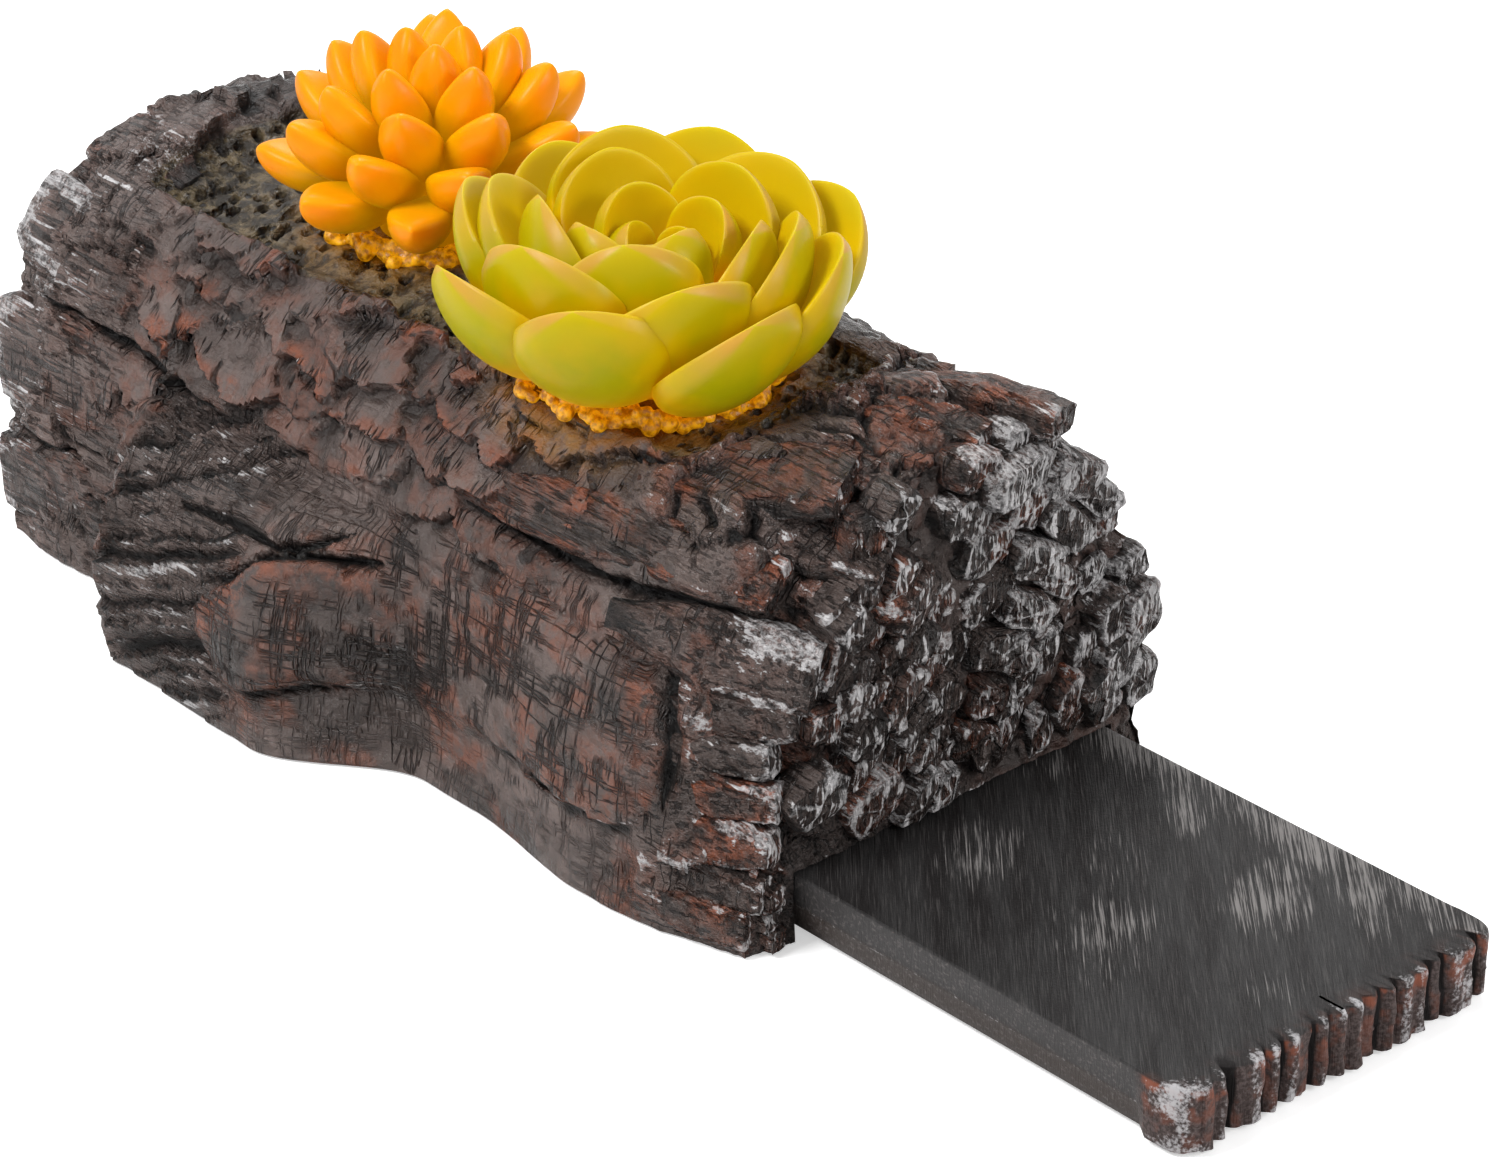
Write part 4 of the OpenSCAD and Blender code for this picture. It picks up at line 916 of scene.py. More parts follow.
def bark_finish():
    f = Finish("bark")
    crack, frost, rust, soil, tone, hatch, crack_away, flake_line, sawn, slab = [
        f.attribute(key) for key in Pile.KEYS]
    fine = f.noise(1300, 5, 0.65)
    mid = f.noise(300, 5, 0.65)
    wide = f.noise(75, 3, 0.55)
    upright = abs(f.noise(1.0, 3, 0.6, f.turned((330, 30, 42), (0, 0.14, 0))) - 0.5)
    lengthwise = abs(f.noise(1.0, 3, 0.6, f.turned((42, 50, 380), (0, -0.12, 0))) - 0.5)
    slanted = abs(f.noise(1.0, 2, 0.5, f.turned((520, 90, 80), (0, 0.7, 0.2))) - 0.5)
    scored = (1 - upright.step(0.0, 0.05)).most(1 - lengthwise.step(0.0, 0.045))
    scored = scored * wide.step(0.4, 0.5)
    nicks = (1 - slanted.step(0.0, 0.045)) * f.noise(120, 2).step(0.5, 0.6)
    lines = (scored * (0.1 + 0.9 * hatch)).most(nicks * (1 - 0.6 * hatch) * (1 - soil))
    long_grain = f.noise(1.0, 4, 0.65, f.turned((70, 900, 900)))
    lines = lines.most(slab * (1 - long_grain.step(0.38, 0.48)))
    saw_marks = f.noise(1.0, 3, 0.6, f.turned((260, 1250, 170)))
    lines = lines.most(sawn * (1 - saw_marks.step(0.4, 0.5)))
    # Near-black in and along the cracks and layer lines and under the flake lips: painted shade, with the cracks' own
    # dark.
    gap = (1 - crack_away.step(0.45, 1.0)).most((1 - flake_line.step(0.1, 0.55)) * 0.85)
    colour = f.mix(tone, paint(58, 50, 47), paint(114, 99, 94))
    colour = f.mix(mid.step(0.42, 0.68) * 0.5, colour, paint(76, 66, 62))
    colour = f.mix((rust * 1.3 * mid.step(0.32, 0.6)).least(1.0), colour, paint(138, 80, 58))
    earth = f.mix(mid.step(0.4, 0.62), paint(42, 35, 25), paint(112, 98, 74))
    colour = f.mix(soil, colour, earth)
    colour = f.mix(lines * (1 - soil) * 0.85, colour, paint(26, 21, 20))
    x, y, z = f.axes()
    # A pool of the lamps' amber light painted on the bark and soil round each succulent's seat.
    for (cx, cy), r in ((GREEN, GREEN_SEAT), (ORANGE, ORANGE_SEAT)):
        away = ((x - cx * MM) ** 2 + (y - cy * MM) ** 2) ** 0.5
        lit = (1 - away.step((r - 2) * MM, (r + 9) * MM)) * z.step(0.064, 0.068)
        colour = f.mix(lit * mid.step(0.3, 0.6) * 0.6, colour, paint(168, 116, 12))
    # Soil pits go near-black too; this dark is painted shade in hollows, under slabs and inside the hollow, along with
    # the cracks' own dark.
    pit = soil * (1 - f.cells(340).step(0.16, 0.34)) * f.noise(120, 2).step(0.42, 0.55)
    dark = crack.most(gap).most(pit)
    colour = f.mix(dark, colour, paint(18, 15, 14))
    ridge = sawn * saw_marks.step(0.46, 0.62) + slab * long_grain.step(0.52, 0.66) * 0.8
    # The pale frost; on the slabs it also carries the painted top light.
    brushed = (frost + (fine - 0.5) * 0.9 + (mid - 0.5) * 0.7 + (ridge - 0.6) * 0.7).step(0.42, 0.8)
    brushed = brushed * frost.step(0.05, 0.25) * (1 - gap) * 0.92
    colour = f.mix(brushed, colour, paint(226, 223, 224))
    bent = f.node("ShaderNodeVectorMath", {"operation": "MULTIPLY_ADD"},
                  {0: f.noise_colour(110), 1: (0.006, 0.006, 0.006), 2: f.turned((1.0, 0.7, 1.3))})
    scale_edge = f.cells(210, "F1", bent)
    height = fine * 0.3 + mid * 0.8 - lines * 0.8 - dark * 0.7 + ridge * 0.4 - scale_edge * 1.1 * (1 - slab)
    bump = f.bump(height, 0.0018, 1.0)
    rough = 0.18 + 0.3 * brushed + 0.3 * dark + (mid - 0.5) * 0.3 - 0.06 * soil
    return f.surface(Base_Color=colour, Roughness=rough, Normal=bump, Specular_IOR_Level=0.38)


def petal_finish(name, root, middle, tip, rim_colour, tip_from, rim_share, back):
    """Waxy, half clear resin lit from below: root, middle and tip colours, a flushed rim and a fresher back."""
    f = Finish(name)
    along = f.attribute("along")
    rim = f.attribute("rim")
    inner = f.attribute("inner")
    cloud = f.noise(70, 3, 0.5)
    fine = f.noise(520, 3, 0.5)
    colour = f.mix((1 - inner) * cloud.step(0.3, 0.6) * 0.9, middle, back)
    colour = f.mix((along + (cloud - 0.5) * 0.35).step(0.2, 0.75), root, colour)
    colour = f.mix((along + (cloud - 0.5) * 0.3).step(tip_from, 1.05), colour, tip)
    flushed = (rim + (cloud - 0.5) * 0.9).step(0.65, 1.15) * along.step(0.6, 0.98) * rim_share
    colour = f.mix(flushed, colour, rim_colour)
    # A glow painted in as emission for the lamp's light through the resin, warmer toward the root and stronger on the
    # inner faces.
    glow = f.mix(along.step(0.0, 0.8), paint(138, 88, 0), paint(50, 40, 0))
    glow = f.mix(inner * 0.7, glow, paint(112, 88, 6))
    bump = f.bump(cloud * 0.6 + fine * 0.12, 0.0006, 0.5)
    rough = 0.34 + (fine - 0.5) * 0.12
    return f.surface(Base_Color=colour, Roughness=rough, Normal=bump, Subsurface_Weight=0.4,
                     Subsurface_Radius=(1.0, 0.8, 0.12), Subsurface_Scale=0.006, Specular_IOR_Level=0.14,
                     Emission_Color=glow, Emission_Strength=1.0)


def amber_finish():
    f = Finish("amber_resin")
    grit = f.noise(700, 4, 0.6)
    spots = f.cells(420)
    colour = f.mix(grit.step(0.35, 0.65), paint(150, 96, 6), paint(226, 172, 22))
    # A glow painted in as emission for the lamp's light through the amber.
    glow = f.mix(grit.step(0.35, 0.7), paint(110, 62, 0), paint(190, 126, 6))
    bump = f.bump(grit * 0.6 - spots * 0.5, 0.0007, 0.8)
    return f.surface(Base_Color=colour, Roughness=0.22 + grit * 0.2, Normal=bump, Emission_Color=glow,
                     Emission_Strength=0.75, Subsurface_Weight=0.25, Subsurface_Scale=0.002)


# Soft pale patches on the plank's top: x, y, reach along the strokes, reach across them, strength
SMUDGES = [(118, -8, 16, 10, 0.7), (136, 4, 14, 8, 0.8), (150, -12, 20, 12, 0.6), (160, 16, 16, 10, 0.75),
           (128, 30, 22, 6, 0.8), (172, 28, 16, 8, 0.8), (178, -4, 12, 8, 0.5), (102, 22, 12, 10, 0.5)]
STROKE_TURN = math.atan2(-0.670, 0.742)


def plank_finish():
    f = Finish("plank")
    end = f.attribute("end")
    worn = f.attribute("worn")
    x, y, z = f.axes()
    along = x * (math.cos(STROKE_TURN) * 1000) + y * (math.sin(STROKE_TURN) * 1000)
    across = y * (math.cos(STROKE_TURN) * 1000) - x * (math.sin(STROKE_TURN) * 1000)
    stroke_place = f.node("ShaderNodeCombineXYZ", values={"X": along * 0.06, "Y": across * 2.4, "Z": z * 300})
    stroke = f.noise(1.0, 4, 0.6, stroke_place)
    wide_place = f.node("ShaderNodeCombineXYZ", values={"X": along * 0.03, "Y": across * 0.22, "Z": z * 90})
    band = f.noise(1.0, 3, 0.55, wide_place)
    fine = f.noise(1500, 4, 0.6)
    cloud = f.noise(55, 3, 0.5)
    patch = 0.0
    for px, py, reach, width, strength in SMUDGES:
        mid_along = px * math.cos(STROKE_TURN) + py * math.sin(STROKE_TURN)
        mid_across = py * math.cos(STROKE_TURN) - px * math.sin(STROKE_TURN)
        far = ((along - mid_along) / reach) ** 2 + ((across - mid_across) / width) ** 2
        spot = (1 - far.least(1.0)) * strength
        patch = spot if isinstance(patch, float) else patch.most(spot)
    top = z.step(0.0119, 0.0123)
    scored_place = f.node("ShaderNodeCombineXYZ", values={"X": along * 0.14, "Y": across * 5.0, "Z": z * 300})
    scored = f.noise(1.0, 3, 0.6, scored_place)
    patch = patch.most(y.step(0.022, 0.037) * 0.75)
    dusty = (stroke * 0.6 + scored * 0.4 + (cloud - 0.5) * 0.4 + (patch - 0.6) * 0.22).step(0.5, 0.62)
    dusty = dusty * (patch.step(0.0, 0.3) * 0.6 + 0.06)
    colour = f.mix(band.step(0.35, 0.65), paint(30, 28, 28), paint(44, 43, 43))
    colour = f.mix((1 - stroke.step(0.3, 0.42)) * 0.6, colour, paint(20, 18, 18))
    colour = f.mix(scored.step(0.52, 0.66) * 0.4, colour, paint(86, 83, 82))
    colour = f.mix((1 - scored.step(0.34, 0.46)) * 0.6, colour, paint(18, 16, 16))
    colour = f.mix(dusty * top, colour, paint(150, 146, 144))
    side = (1 - top) * (1 - end)
    upper = z.step(0.0055, 0.0062)
    side_colour = f.mix(upper, paint(66, 59, 56), paint(62, 60, 60))
    side_colour = f.mix(fine.step(0.5, 0.72) * 0.6, side_colour, paint(116, 110, 108))
    colour = f.mix(side, colour, side_colour)
    end_colour = f.mix(fine.step(0.4, 0.65), paint(58, 48, 46), paint(92, 80, 78))
    rusty = f.noise(240, 3).step(0.46, 0.62) * (0.35 + 0.65 * z.step(0.006, 0.0118))
    end_colour = f.mix(rusty, end_colour, paint(128, 74, 56))
    colour = f.mix(end * (1 - top * 0.9), colour, end_colour)
    # Pale on the flute lands, the front corner on the left, the far top edge and, as a painted highlight, along the
    # side's ridge; the deep flutes get painted shade.
    frost_and_highlight = (worn + (fine - 0.5) * 1.5 + (cloud - 0.5) * 1.2).step(0.5, 1.0) * worn.step(0.05, 0.25) * 0.85
    colour = f.mix(frost_and_highlight, colour, paint(192, 190, 192))
    colour = f.mix((worn * -1.0).step(0.1, 0.7), colour, paint(20, 16, 16))
    height = stroke * 0.5 + scored * 0.5 + fine * 0.2
    bump = f.bump(height, 0.0005, 0.8)
    rough = 0.5 + 0.2 * dusty - 0.1 * band
    return f.surface(Base_Color=colour, Roughness=rough, Normal=bump, Specular_IOR_Level=0.14,
                     Coat_Weight=0.1 * side, Coat_Roughness=0.25)


def moulded_finish(name, pale, dark, rough, texture):
    """Moulded plastic or rubber: a fine spark texture, slight flow marks and rubbed spots."""
    f = Finish(name)
    spark = f.noise(texture, 4, 0.6)
    flow = f.noise(40, 3, 0.5, f.turned((1, 0.35, 1)))
    colour = f.mix((flow + (spark - 0.5) * 0.4).step(0.3, 0.7), dark, pale)
    bump = f.bump(spark, 0.0002, 0.45)
    return f.surface(Base_Color=colour, Roughness=rough + (flow - 0.5) * 0.25, Normal=bump, Specular_IOR_Level=0.4)


def metal_finish(name, pale, dark, rough):
    """Drawn metal: fine lines along its length and dull spots."""
    f = Finish(name)
    lines = f.noise(1.0, 3, 0.6, f.turned((180, 3200, 3200)))
    spots = f.noise(420, 4, 0.6)
    colour = f.mix((lines * 0.5 + spots * 0.5).step(0.35, 0.65), dark, pale)
    bump = f.bump(lines + spots * 0.4, 0.0001, 0.4)
    return f.surface(Base_Color=colour, Metallic=1 - 0.25 * spots.step(0.6, 0.75), Roughness=rough + spots * 0.2,
                     Normal=bump)


def board_finish():
    """Green lacquer over copper tracks."""
    f = Finish("board")
    x, y, z = f.axes()
    ways = f.node("ShaderNodeCombineXYZ", values={"X": x * 0.0, "Y": y * 900, "Z": z * 900})
    track = f.cells(0.32, "F1", ways, "Distance")
    lanes = ((y * 520 + track * 0.8).fraction() - 0.5)
    raised = 1 - abs(lanes).step(0.16, 0.24)
    fine = f.noise(900, 3, 0.5)
    colour = f.mix(raised, paint(18, 74, 42), paint(38, 112, 62))
    colour = f.mix(fine.step(0.6, 0.75) * 0.3, colour, paint(60, 130, 80))
    return f.surface(Base_Color=colour, Roughness=0.3 + fine * 0.2, Normal=f.bump(raised + fine * 0.2, 0.0001, 0.5))


def sleeve_finish():
    """A printed shrink sleeve: a coloured length with a plain band at one end, and no words."""
    f = Finish("cell_sleeve")
    x, y, z = f.axes()
    fine = f.noise(700, 3, 0.5)
    band = (y * 1000).step(12.0, 12.6)
    colour = f.mix(band, paint(34, 96, 78), paint(196, 198, 194))
    colour = f.mix(fine.step(0.5, 0.75) * 0.25, colour, paint(24, 66, 58))
    shrink = f.noise(1.0, 2, 0.5, f.turned((160, 40, 160)))
    return f.surface(Base_Color=colour, Roughness=0.25 + fine * 0.15, Normal=f.bump(shrink, 0.0002, 0.3),
                     Coat_Weight=0.3 + fine * 0.1)


def led_finish():
    """A domed LED's clear yellow lens, bright inside."""
    f = Finish("led")
    x, y, z = f.axes()
    haze = f.noise(600, 3, 0.5)
    colour = f.mix(haze.step(0.35, 0.65), paint(232, 206, 120), paint(250, 232, 170))
    glow = f.mix(haze.step(0.3, 0.7), paint(255, 190, 60), paint(255, 214, 110))
    return f.surface(Base_Color=colour, Roughness=0.12 + haze * 0.1, Emission_Color=glow, Emission_Strength=1.5,
                     Normal=f.bump(haze, 0.0001, 0.3), Coat_Weight=0.4 + 0.1 * haze)


def solar_finish():
    """Dark blue silicon under glass, with its crystal shimmer."""
    f = Finish("solar_cell")
    bar = f.attribute("bar")
    crystal = f.cells(260, "F1", None, "Color")
    tint = f.node("ShaderNodeSeparateColor", values={"Color": crystal})
    fine = f.noise(900, 3, 0.5)
    colour = f.mix(tint.step(0.0, 1.0), paint(14, 20, 46), paint(30, 42, 84))
    colour = f.mix(bar.step(0.4, 0.6), colour, paint(150, 152, 156))
    colour = f.mix(bar.step(1.4, 1.6), colour, paint(28, 28, 31))
    rough = 0.12 + 0.25 * bar.step(1.4, 1.6) + fine * 0.08
    return f.surface(Base_Color=colour, Roughness=rough, Normal=f.bump(fine, 0.0001, 0.2), Coat_Weight=0.6 + fine * 0.1,
                     Coat_Roughness=0.06)


# The succulents

def petal_mesh(name, around, lengthwise, width_at, cup, bend, faces_share, sharp):
    """One petal of unit length along x: a cupped, plump blade with a narrow root and a raised tip."""
    s = np.linspace(0, 1, lengthwise)
    s = 1 - (1 - s) ** 1.5
    angle = np.linspace(0, 2 * math.pi, around, endpoint=False)
    across = np.cos(angle)
    side = np.sin(angle)
    upper, lower = faces_share
    rings = []
    for u in s:
        wide = 0.5 * width_at(u)
        plump = math.sqrt(max(0.0009, 1 - max(0.0, (u - 0.55) / 0.45) ** 2.4)) * (0.55 + 0.45 * smooth(u / 0.4))
        blade = np.where(side > 0, upper, lower) * plump * np.sign(side) * np.abs(side) ** sharp
        z = bend(u) + cup * (2 * wide * across) ** 2 + blade
        rings.append(np.stack([np.full(around, u), wide * across, z], axis=1))
    faces = grid_faces(lengthwise, around, closed_rows=True)
    faces.append(list(range(around)))
    faces.append([(lengthwise - 1) * around + k for k in reversed(range(around))])
    marks = {"along": np.repeat(s, around), "rim": np.tile(np.abs(across) ** 3, lengthwise),
             "inner": np.tile(np.clip(side * 2, 0, 1), lengthwise)}
    return outward(mesh_of(name, np.concatenate(rings) / MM, faces, marks))


def leafy_width(root, belly, point, blunt):
    """Width along a leaf: a narrow root, a broad belly and a rounded or pointed tip."""
    def at(u):
        if u <= belly:
            return root + (1 - root) * math.sin(0.5 * math.pi * u / belly)
        return max(0.02, (1 - ((u - belly) / (1 - belly)) ** point) ** blunt)
    return at


class Growth(Graph):
    """A Geometry Nodes tree with named inputs."""

    def __init__(self, name):
        super().__init__(bpy.data.node_groups.new(name, "GeometryNodeTree"))
        self.sizes = {}
        self.gate = self.tree.nodes.new("NodeGroupInput")
        self.tree.interface.new_socket("Geometry", in_out="OUTPUT", socket_type="NodeSocketGeometry")

    def size(self, name, kind="NodeSocketFloat"):
        socket = self.tree.interface.new_socket(name, in_out="INPUT", socket_type=kind)
        self.sizes[name] = socket.identifier
        return Signal(self, self.gate.outputs[name])

    def vector(self, x, y, z):
        return self.node("ShaderNodeCombineXYZ", values={"X": x, "Y": y, "Z": z})

    def join(self, parts):
        made = self.tree.nodes.new("GeometryNodeJoinGeometry")
        for part in parts:
            self.tree.links.new(part.socket, made.inputs[0])
        return Signal(self, made.outputs[0])

    def finish(self, geometry, material):
        whole = self.node("GeometryNodeRealizeInstances", values={"Geometry": geometry})
        whole = self.node("GeometryNodeSetShadeSmooth", values={"Geometry": whole})
        whole = self.node("GeometryNodeSetMaterial", values={"Geometry": whole, "Material": material})
        end = self.tree.nodes.new("NodeGroupOutput")
        self.tree.links.new(whole.socket, end.inputs[0])

    def grow(self, name, values):
        """The tree's result as a plain mesh."""
        seed = bpy.data.objects.new(name, bpy.data.meshes.new(name))
        scene.collection.objects.link(seed)
        growing = seed.modifiers.new("growth", "NODES")
        growing.node_group = self.tree
        for key, value in values.items():
            growing[self.sizes[key]] = value
        return as_mesh(seed, name)


def whorl(tree, leaf, count, first, sway, tilt, tilt_sway, root_r, root_z, size, roll=0.0):
    """A ring of leaves, each turned, raised and a little uneven, and rolled so that one edge laps the next leaf."""
    index = tree.node("GeometryNodeInputIndex")
    turn = index * (2 * math.pi / count) + math.radians(first) + (index * sway[1] + sway[2]).sine() * sway[0]
    rise = math.radians(tilt) + (index * tilt_sway[1] + tilt_sway[2]).sine() * tilt_sway[0]
    spot = tree.vector(turn.cosine() * root_r, turn.sine() * root_r, root_z)
    points = tree.node("GeometryNodePoints", values={"Count": count, "Position": spot})
    shape = tree.node("GeometryNodeObjectInfo", values={"Object": leaf}, out="Geometry")
    facing = tree.node("FunctionNodeEulerToRotation", values={"Euler": tree.vector(math.radians(roll), -rise, turn)})
    values = {"Points": points, "Instance": shape, "Rotation": facing, "Scale": tree.vector(*size)}
    return tree.node("GeometryNodeInstanceOnPoints", values=values)


def leaned(tree, parts, middle, lean):
    """Leans a succulent towards the front left, about a point a little above its seat, and sets it there."""
    whole = tree.join(parts)
    low = tree.node("GeometryNodeTransform", values={"Geometry": whole, "Translation": (0, 0, -9 * MM)})
    turn = tree.node("FunctionNodeAxisAngleToRotation", values={"Axis": (0.67, 0.742, 0), "Angle": lean})
    tipped = tree.node("GeometryNodeTransform", values={"Geometry": low, "Rotation": turn})
    return tree.node("GeometryNodeTransform", values={"Geometry": tipped, "Translation": middle})


def stem(tree, radius, height):
    tube = tree.node("GeometryNodeMeshCylinder", {"fill_type": "NGON"},
                     {"Vertices": 40, "Side Segments": 6, "Radius": radius, "Depth": height}, "Mesh")
    return tree.node("GeometryNodeTransform", values={"Geometry": tube, "Translation": (0, 0, height / 2)})


def leaf_object(mesh):
    leaf = bpy.data.objects.new(mesh.name, mesh)
    scene.collection.objects.link(leaf)
    return leaf


# The green succulent's rows: petals, first one's bearing, tilt, root radius, root height, length, width, thickness
GREEN_ROWS = [
    (8, -61, 33, 11.5, 6.5, 32, 28, 7.5),
    (6, -93, 40, 9.5, 10, 28.5, 29, 7.5),
    (5, -56, 50, 7, 11, 25, 24, 7.0),
    (4, -18, 60, 4.5, 12, 19.5, 16, 6.5),
    (3, -48, 64, 2.5, 12, 14.5, 10.5, 6.0),
    (2, 30, 74, 1.0, 12, 11, 7, 4.5),
]


def green_succulent(material):
    tree = Growth("green_succulent")
    size = tree.size("Size")
    lean = tree.size("Lean")
    middle = tree.size("Middle", "NodeSocketVector")
    broad = leaf_object(petal_mesh("broad_petal", 40, 30, leafy_width(0.45, 0.55, 2.1, 0.6), 0.5,
                                   lambda u: 2.6 * u * u - 1.9 * u, (0.28, 0.72), 0.46))
    inner = leaf_object(petal_mesh("inner_petal", 40, 30, leafy_width(0.5, 0.55, 2.2, 0.55), 0.75,
                                   lambda u: 2.3 * u * u - 1.7 * u, (0.3, 0.72), 0.46))
    parts = []
    for row, (count, first, tilt, root_r, root_z, length, wide, thick) in enumerate(GREEN_ROWS):
        parts.append(whorl(
            tree, broad if row < 3 else inner, count, first,
            (math.radians(4), math.radians(97), math.radians(40 * row)), tilt,
            (math.radians(3), math.radians(180), math.radians(90)),
            root_r * MM, root_z * MM, (size * length, size * wide, size * thick), 12))
    parts.append(stem(tree, 11 * MM, 15 * MM))
    tree.finish(leaned(tree, parts, middle, lean), material)
    spot = Vector((GREEN[0], GREEN[1], SEAT_Z + 9)) * MM
    mesh = tree.grow("green_rosette_petals", {"Size": MM, "Lean": math.radians(4), "Middle": spot})
    for leaf in (broad, inner):
        bpy.data.objects.remove(leaf)
    return mesh


# The orange succulent's rows, in the same order
ORANGE_ROWS = [
    (8, 0, 8, 9, 9, 24, 11.5, 8.5),
    (8, 21, 25, 7.5, 11.5, 24, 11.5, 8.5),
    (7, 44, 42, 5.5, 13, 24, 11.5, 8.5),
    (5, 63, 58, 3.5, 14.5, 23.5, 11, 8.0),
    (3, 84, 75, 1.5, 16, 22, 10, 7.5),
]


def orange_succulent(material):
    tree = Growth("orange_succulent")
    size = tree.size("Size")
    lean = tree.size("Lean")
    middle = tree.size("Middle", "NodeSocketVector")
    bean = leaf_object(petal_mesh("bean_leaf", 24, 26, leafy_width(0.5, 0.58, 1.8, 0.75), 0.15,
                                  lambda u: 0.5 * u * u - 0.2 * u, (0.4, 0.58), 0.85))
    parts = []
    for row, (count, first, tilt, root_r, root_z, length, wide, thick) in enumerate(ORANGE_ROWS):
        parts.append(whorl(
            tree, bean, count, first, (math.radians(4), math.radians(83), math.radians(50 * row)),
            tilt, (math.radians(3), math.radians(71), math.radians(60 * row)),
            root_r * MM, root_z * MM, (size * length, size * wide, size * thick)))
    parts.append(stem(tree, 11 * MM, 16 * MM))
    tree.finish(leaned(tree, parts, middle, lean), material)
    spot = Vector((ORANGE[0], ORANGE[1], SEAT_Z + 9)) * MM
    mesh = tree.grow("orange_rosette_leaves", {"Size": MM, "Lean": math.radians(5), "Middle": spot})
    bpy.data.objects.remove(bean)
    return mesh


def amber_frill(name, middle, radius, material):
    """A frilled ring of melted amber grains that holds a succulent."""
    tree = Growth(name)
    ring = tree.size("Ring radius")
    grain_r = tree.size("Grain radius")
    spot = tree.size("Middle", "NodeSocketVector")
    index = tree.node("GeometryNodeInputIndex")
    parts = []
    count = 78
    for row, (inset, height, share) in enumerate(((0.0, 1.0, 1.0), (2.4, 2.0, 1.0), (1.1, 3.0, 0.72))):
        jitter = tree.node("FunctionNodeRandomValue", {"data_type": "FLOAT_VECTOR"},
                           {"Min": (-0.0011, -0.0011, -0.0006), "Max": (0.0011, 0.0011, 0.0008), "Seed": 3 + row})
        turn = index * (2 * math.pi / count) + 0.4 * row
        far = ring - inset * MM + (turn * 9 + row).sine() * 0.0009
        place_at = tree.vector(turn.cosine() * far, turn.sine() * far, height * MM)
        place_at = tree.node("ShaderNodeVectorMath", {"operation": "ADD"}, {0: place_at, 1: jitter})
        points = tree.node("GeometryNodePoints", values={"Count": count, "Position": place_at})
        ball = tree.node("GeometryNodeMeshIcoSphere", values={"Radius": grain_r, "Subdivisions": 2}, out="Mesh")
        sizes = tree.node("FunctionNodeRandomValue", {"data_type": "FLOAT"},
                          {2: 0.7 * share, 3: 1.25 * share, "Seed": 11 + row}, 1)
        parts.append(tree.node("GeometryNodeInstanceOnPoints",
                               values={"Points": points, "Instance": ball, "Scale": sizes}))
    whole = tree.node("GeometryNodeRealizeInstances", values={"Geometry": tree.join(parts)})
    cloud = tree.node("GeometryNodeMeshToVolume", {"resolution_mode": "VOXEL_SIZE"},
                      {"Mesh": whole, "Voxel Size": 0.0004, "Interior Band Width": 0.002})
    whole = tree.node("GeometryNodeVolumeToMesh", {"resolution_mode": "VOXEL_SIZE"},
                      {"Volume": cloud, "Voxel Size": 0.0004, "Threshold": 0.1})
    whole = tree.node("GeometryNodeTransform", values={"Geometry": whole, "Translation": spot})
    tree.finish(whole, material)
    values = {"Ring radius": radius * MM, "Grain radius": 1.5 * MM,
              "Middle": Vector((middle[0], middle[1], SEAT_Z - 0.4)) * MM}
    return tree.grow(name, values)


# The plank

PLANK_BACK = 43.0
PLANK_FRONT = 193.0
PLANK_HALF = 36.7
PLANK_TOP = 12.4
PLANK_FOOT = 0.4
PLANK_RIDGE = 5.6
FLUTES = 17
FLUTED_LEN = 12.0


def flute_depth(i):
    return 1.1 + 0.9 * sind(137.5 * i) + (1.4 if i % 3 == 1 else 0)


def plank_outline():
    """The plank seen from above, from its rear right corner round to its rear left one."""
    left = [(x, -PLANK_HALF) for x in np.arange(PLANK_BACK, PLANK_FRONT - 6, 1.5)]
    corner = [(PLANK_FRONT - 6 + 5.4 * sind(a), -PLANK_HALF + 4 * (1 - cosd(a))) for a in np.arange(8, 90, 8)]
    end = [(PLANK_FRONT, y) for y in np.arange(-PLANK_HALF + 4, PLANK_HALF - 4 + 0.1, 0.24)]
    turn = [(x, -y) for x, y in reversed(corner)]
    right = [(x, -y) for x, y in reversed(left)]
    rear = [(PLANK_BACK, y) for y in np.arange(PLANK_HALF - 3, -PLANK_HALF, -3.0)]
    return np.array(left + corner + end + turn + right + rear)


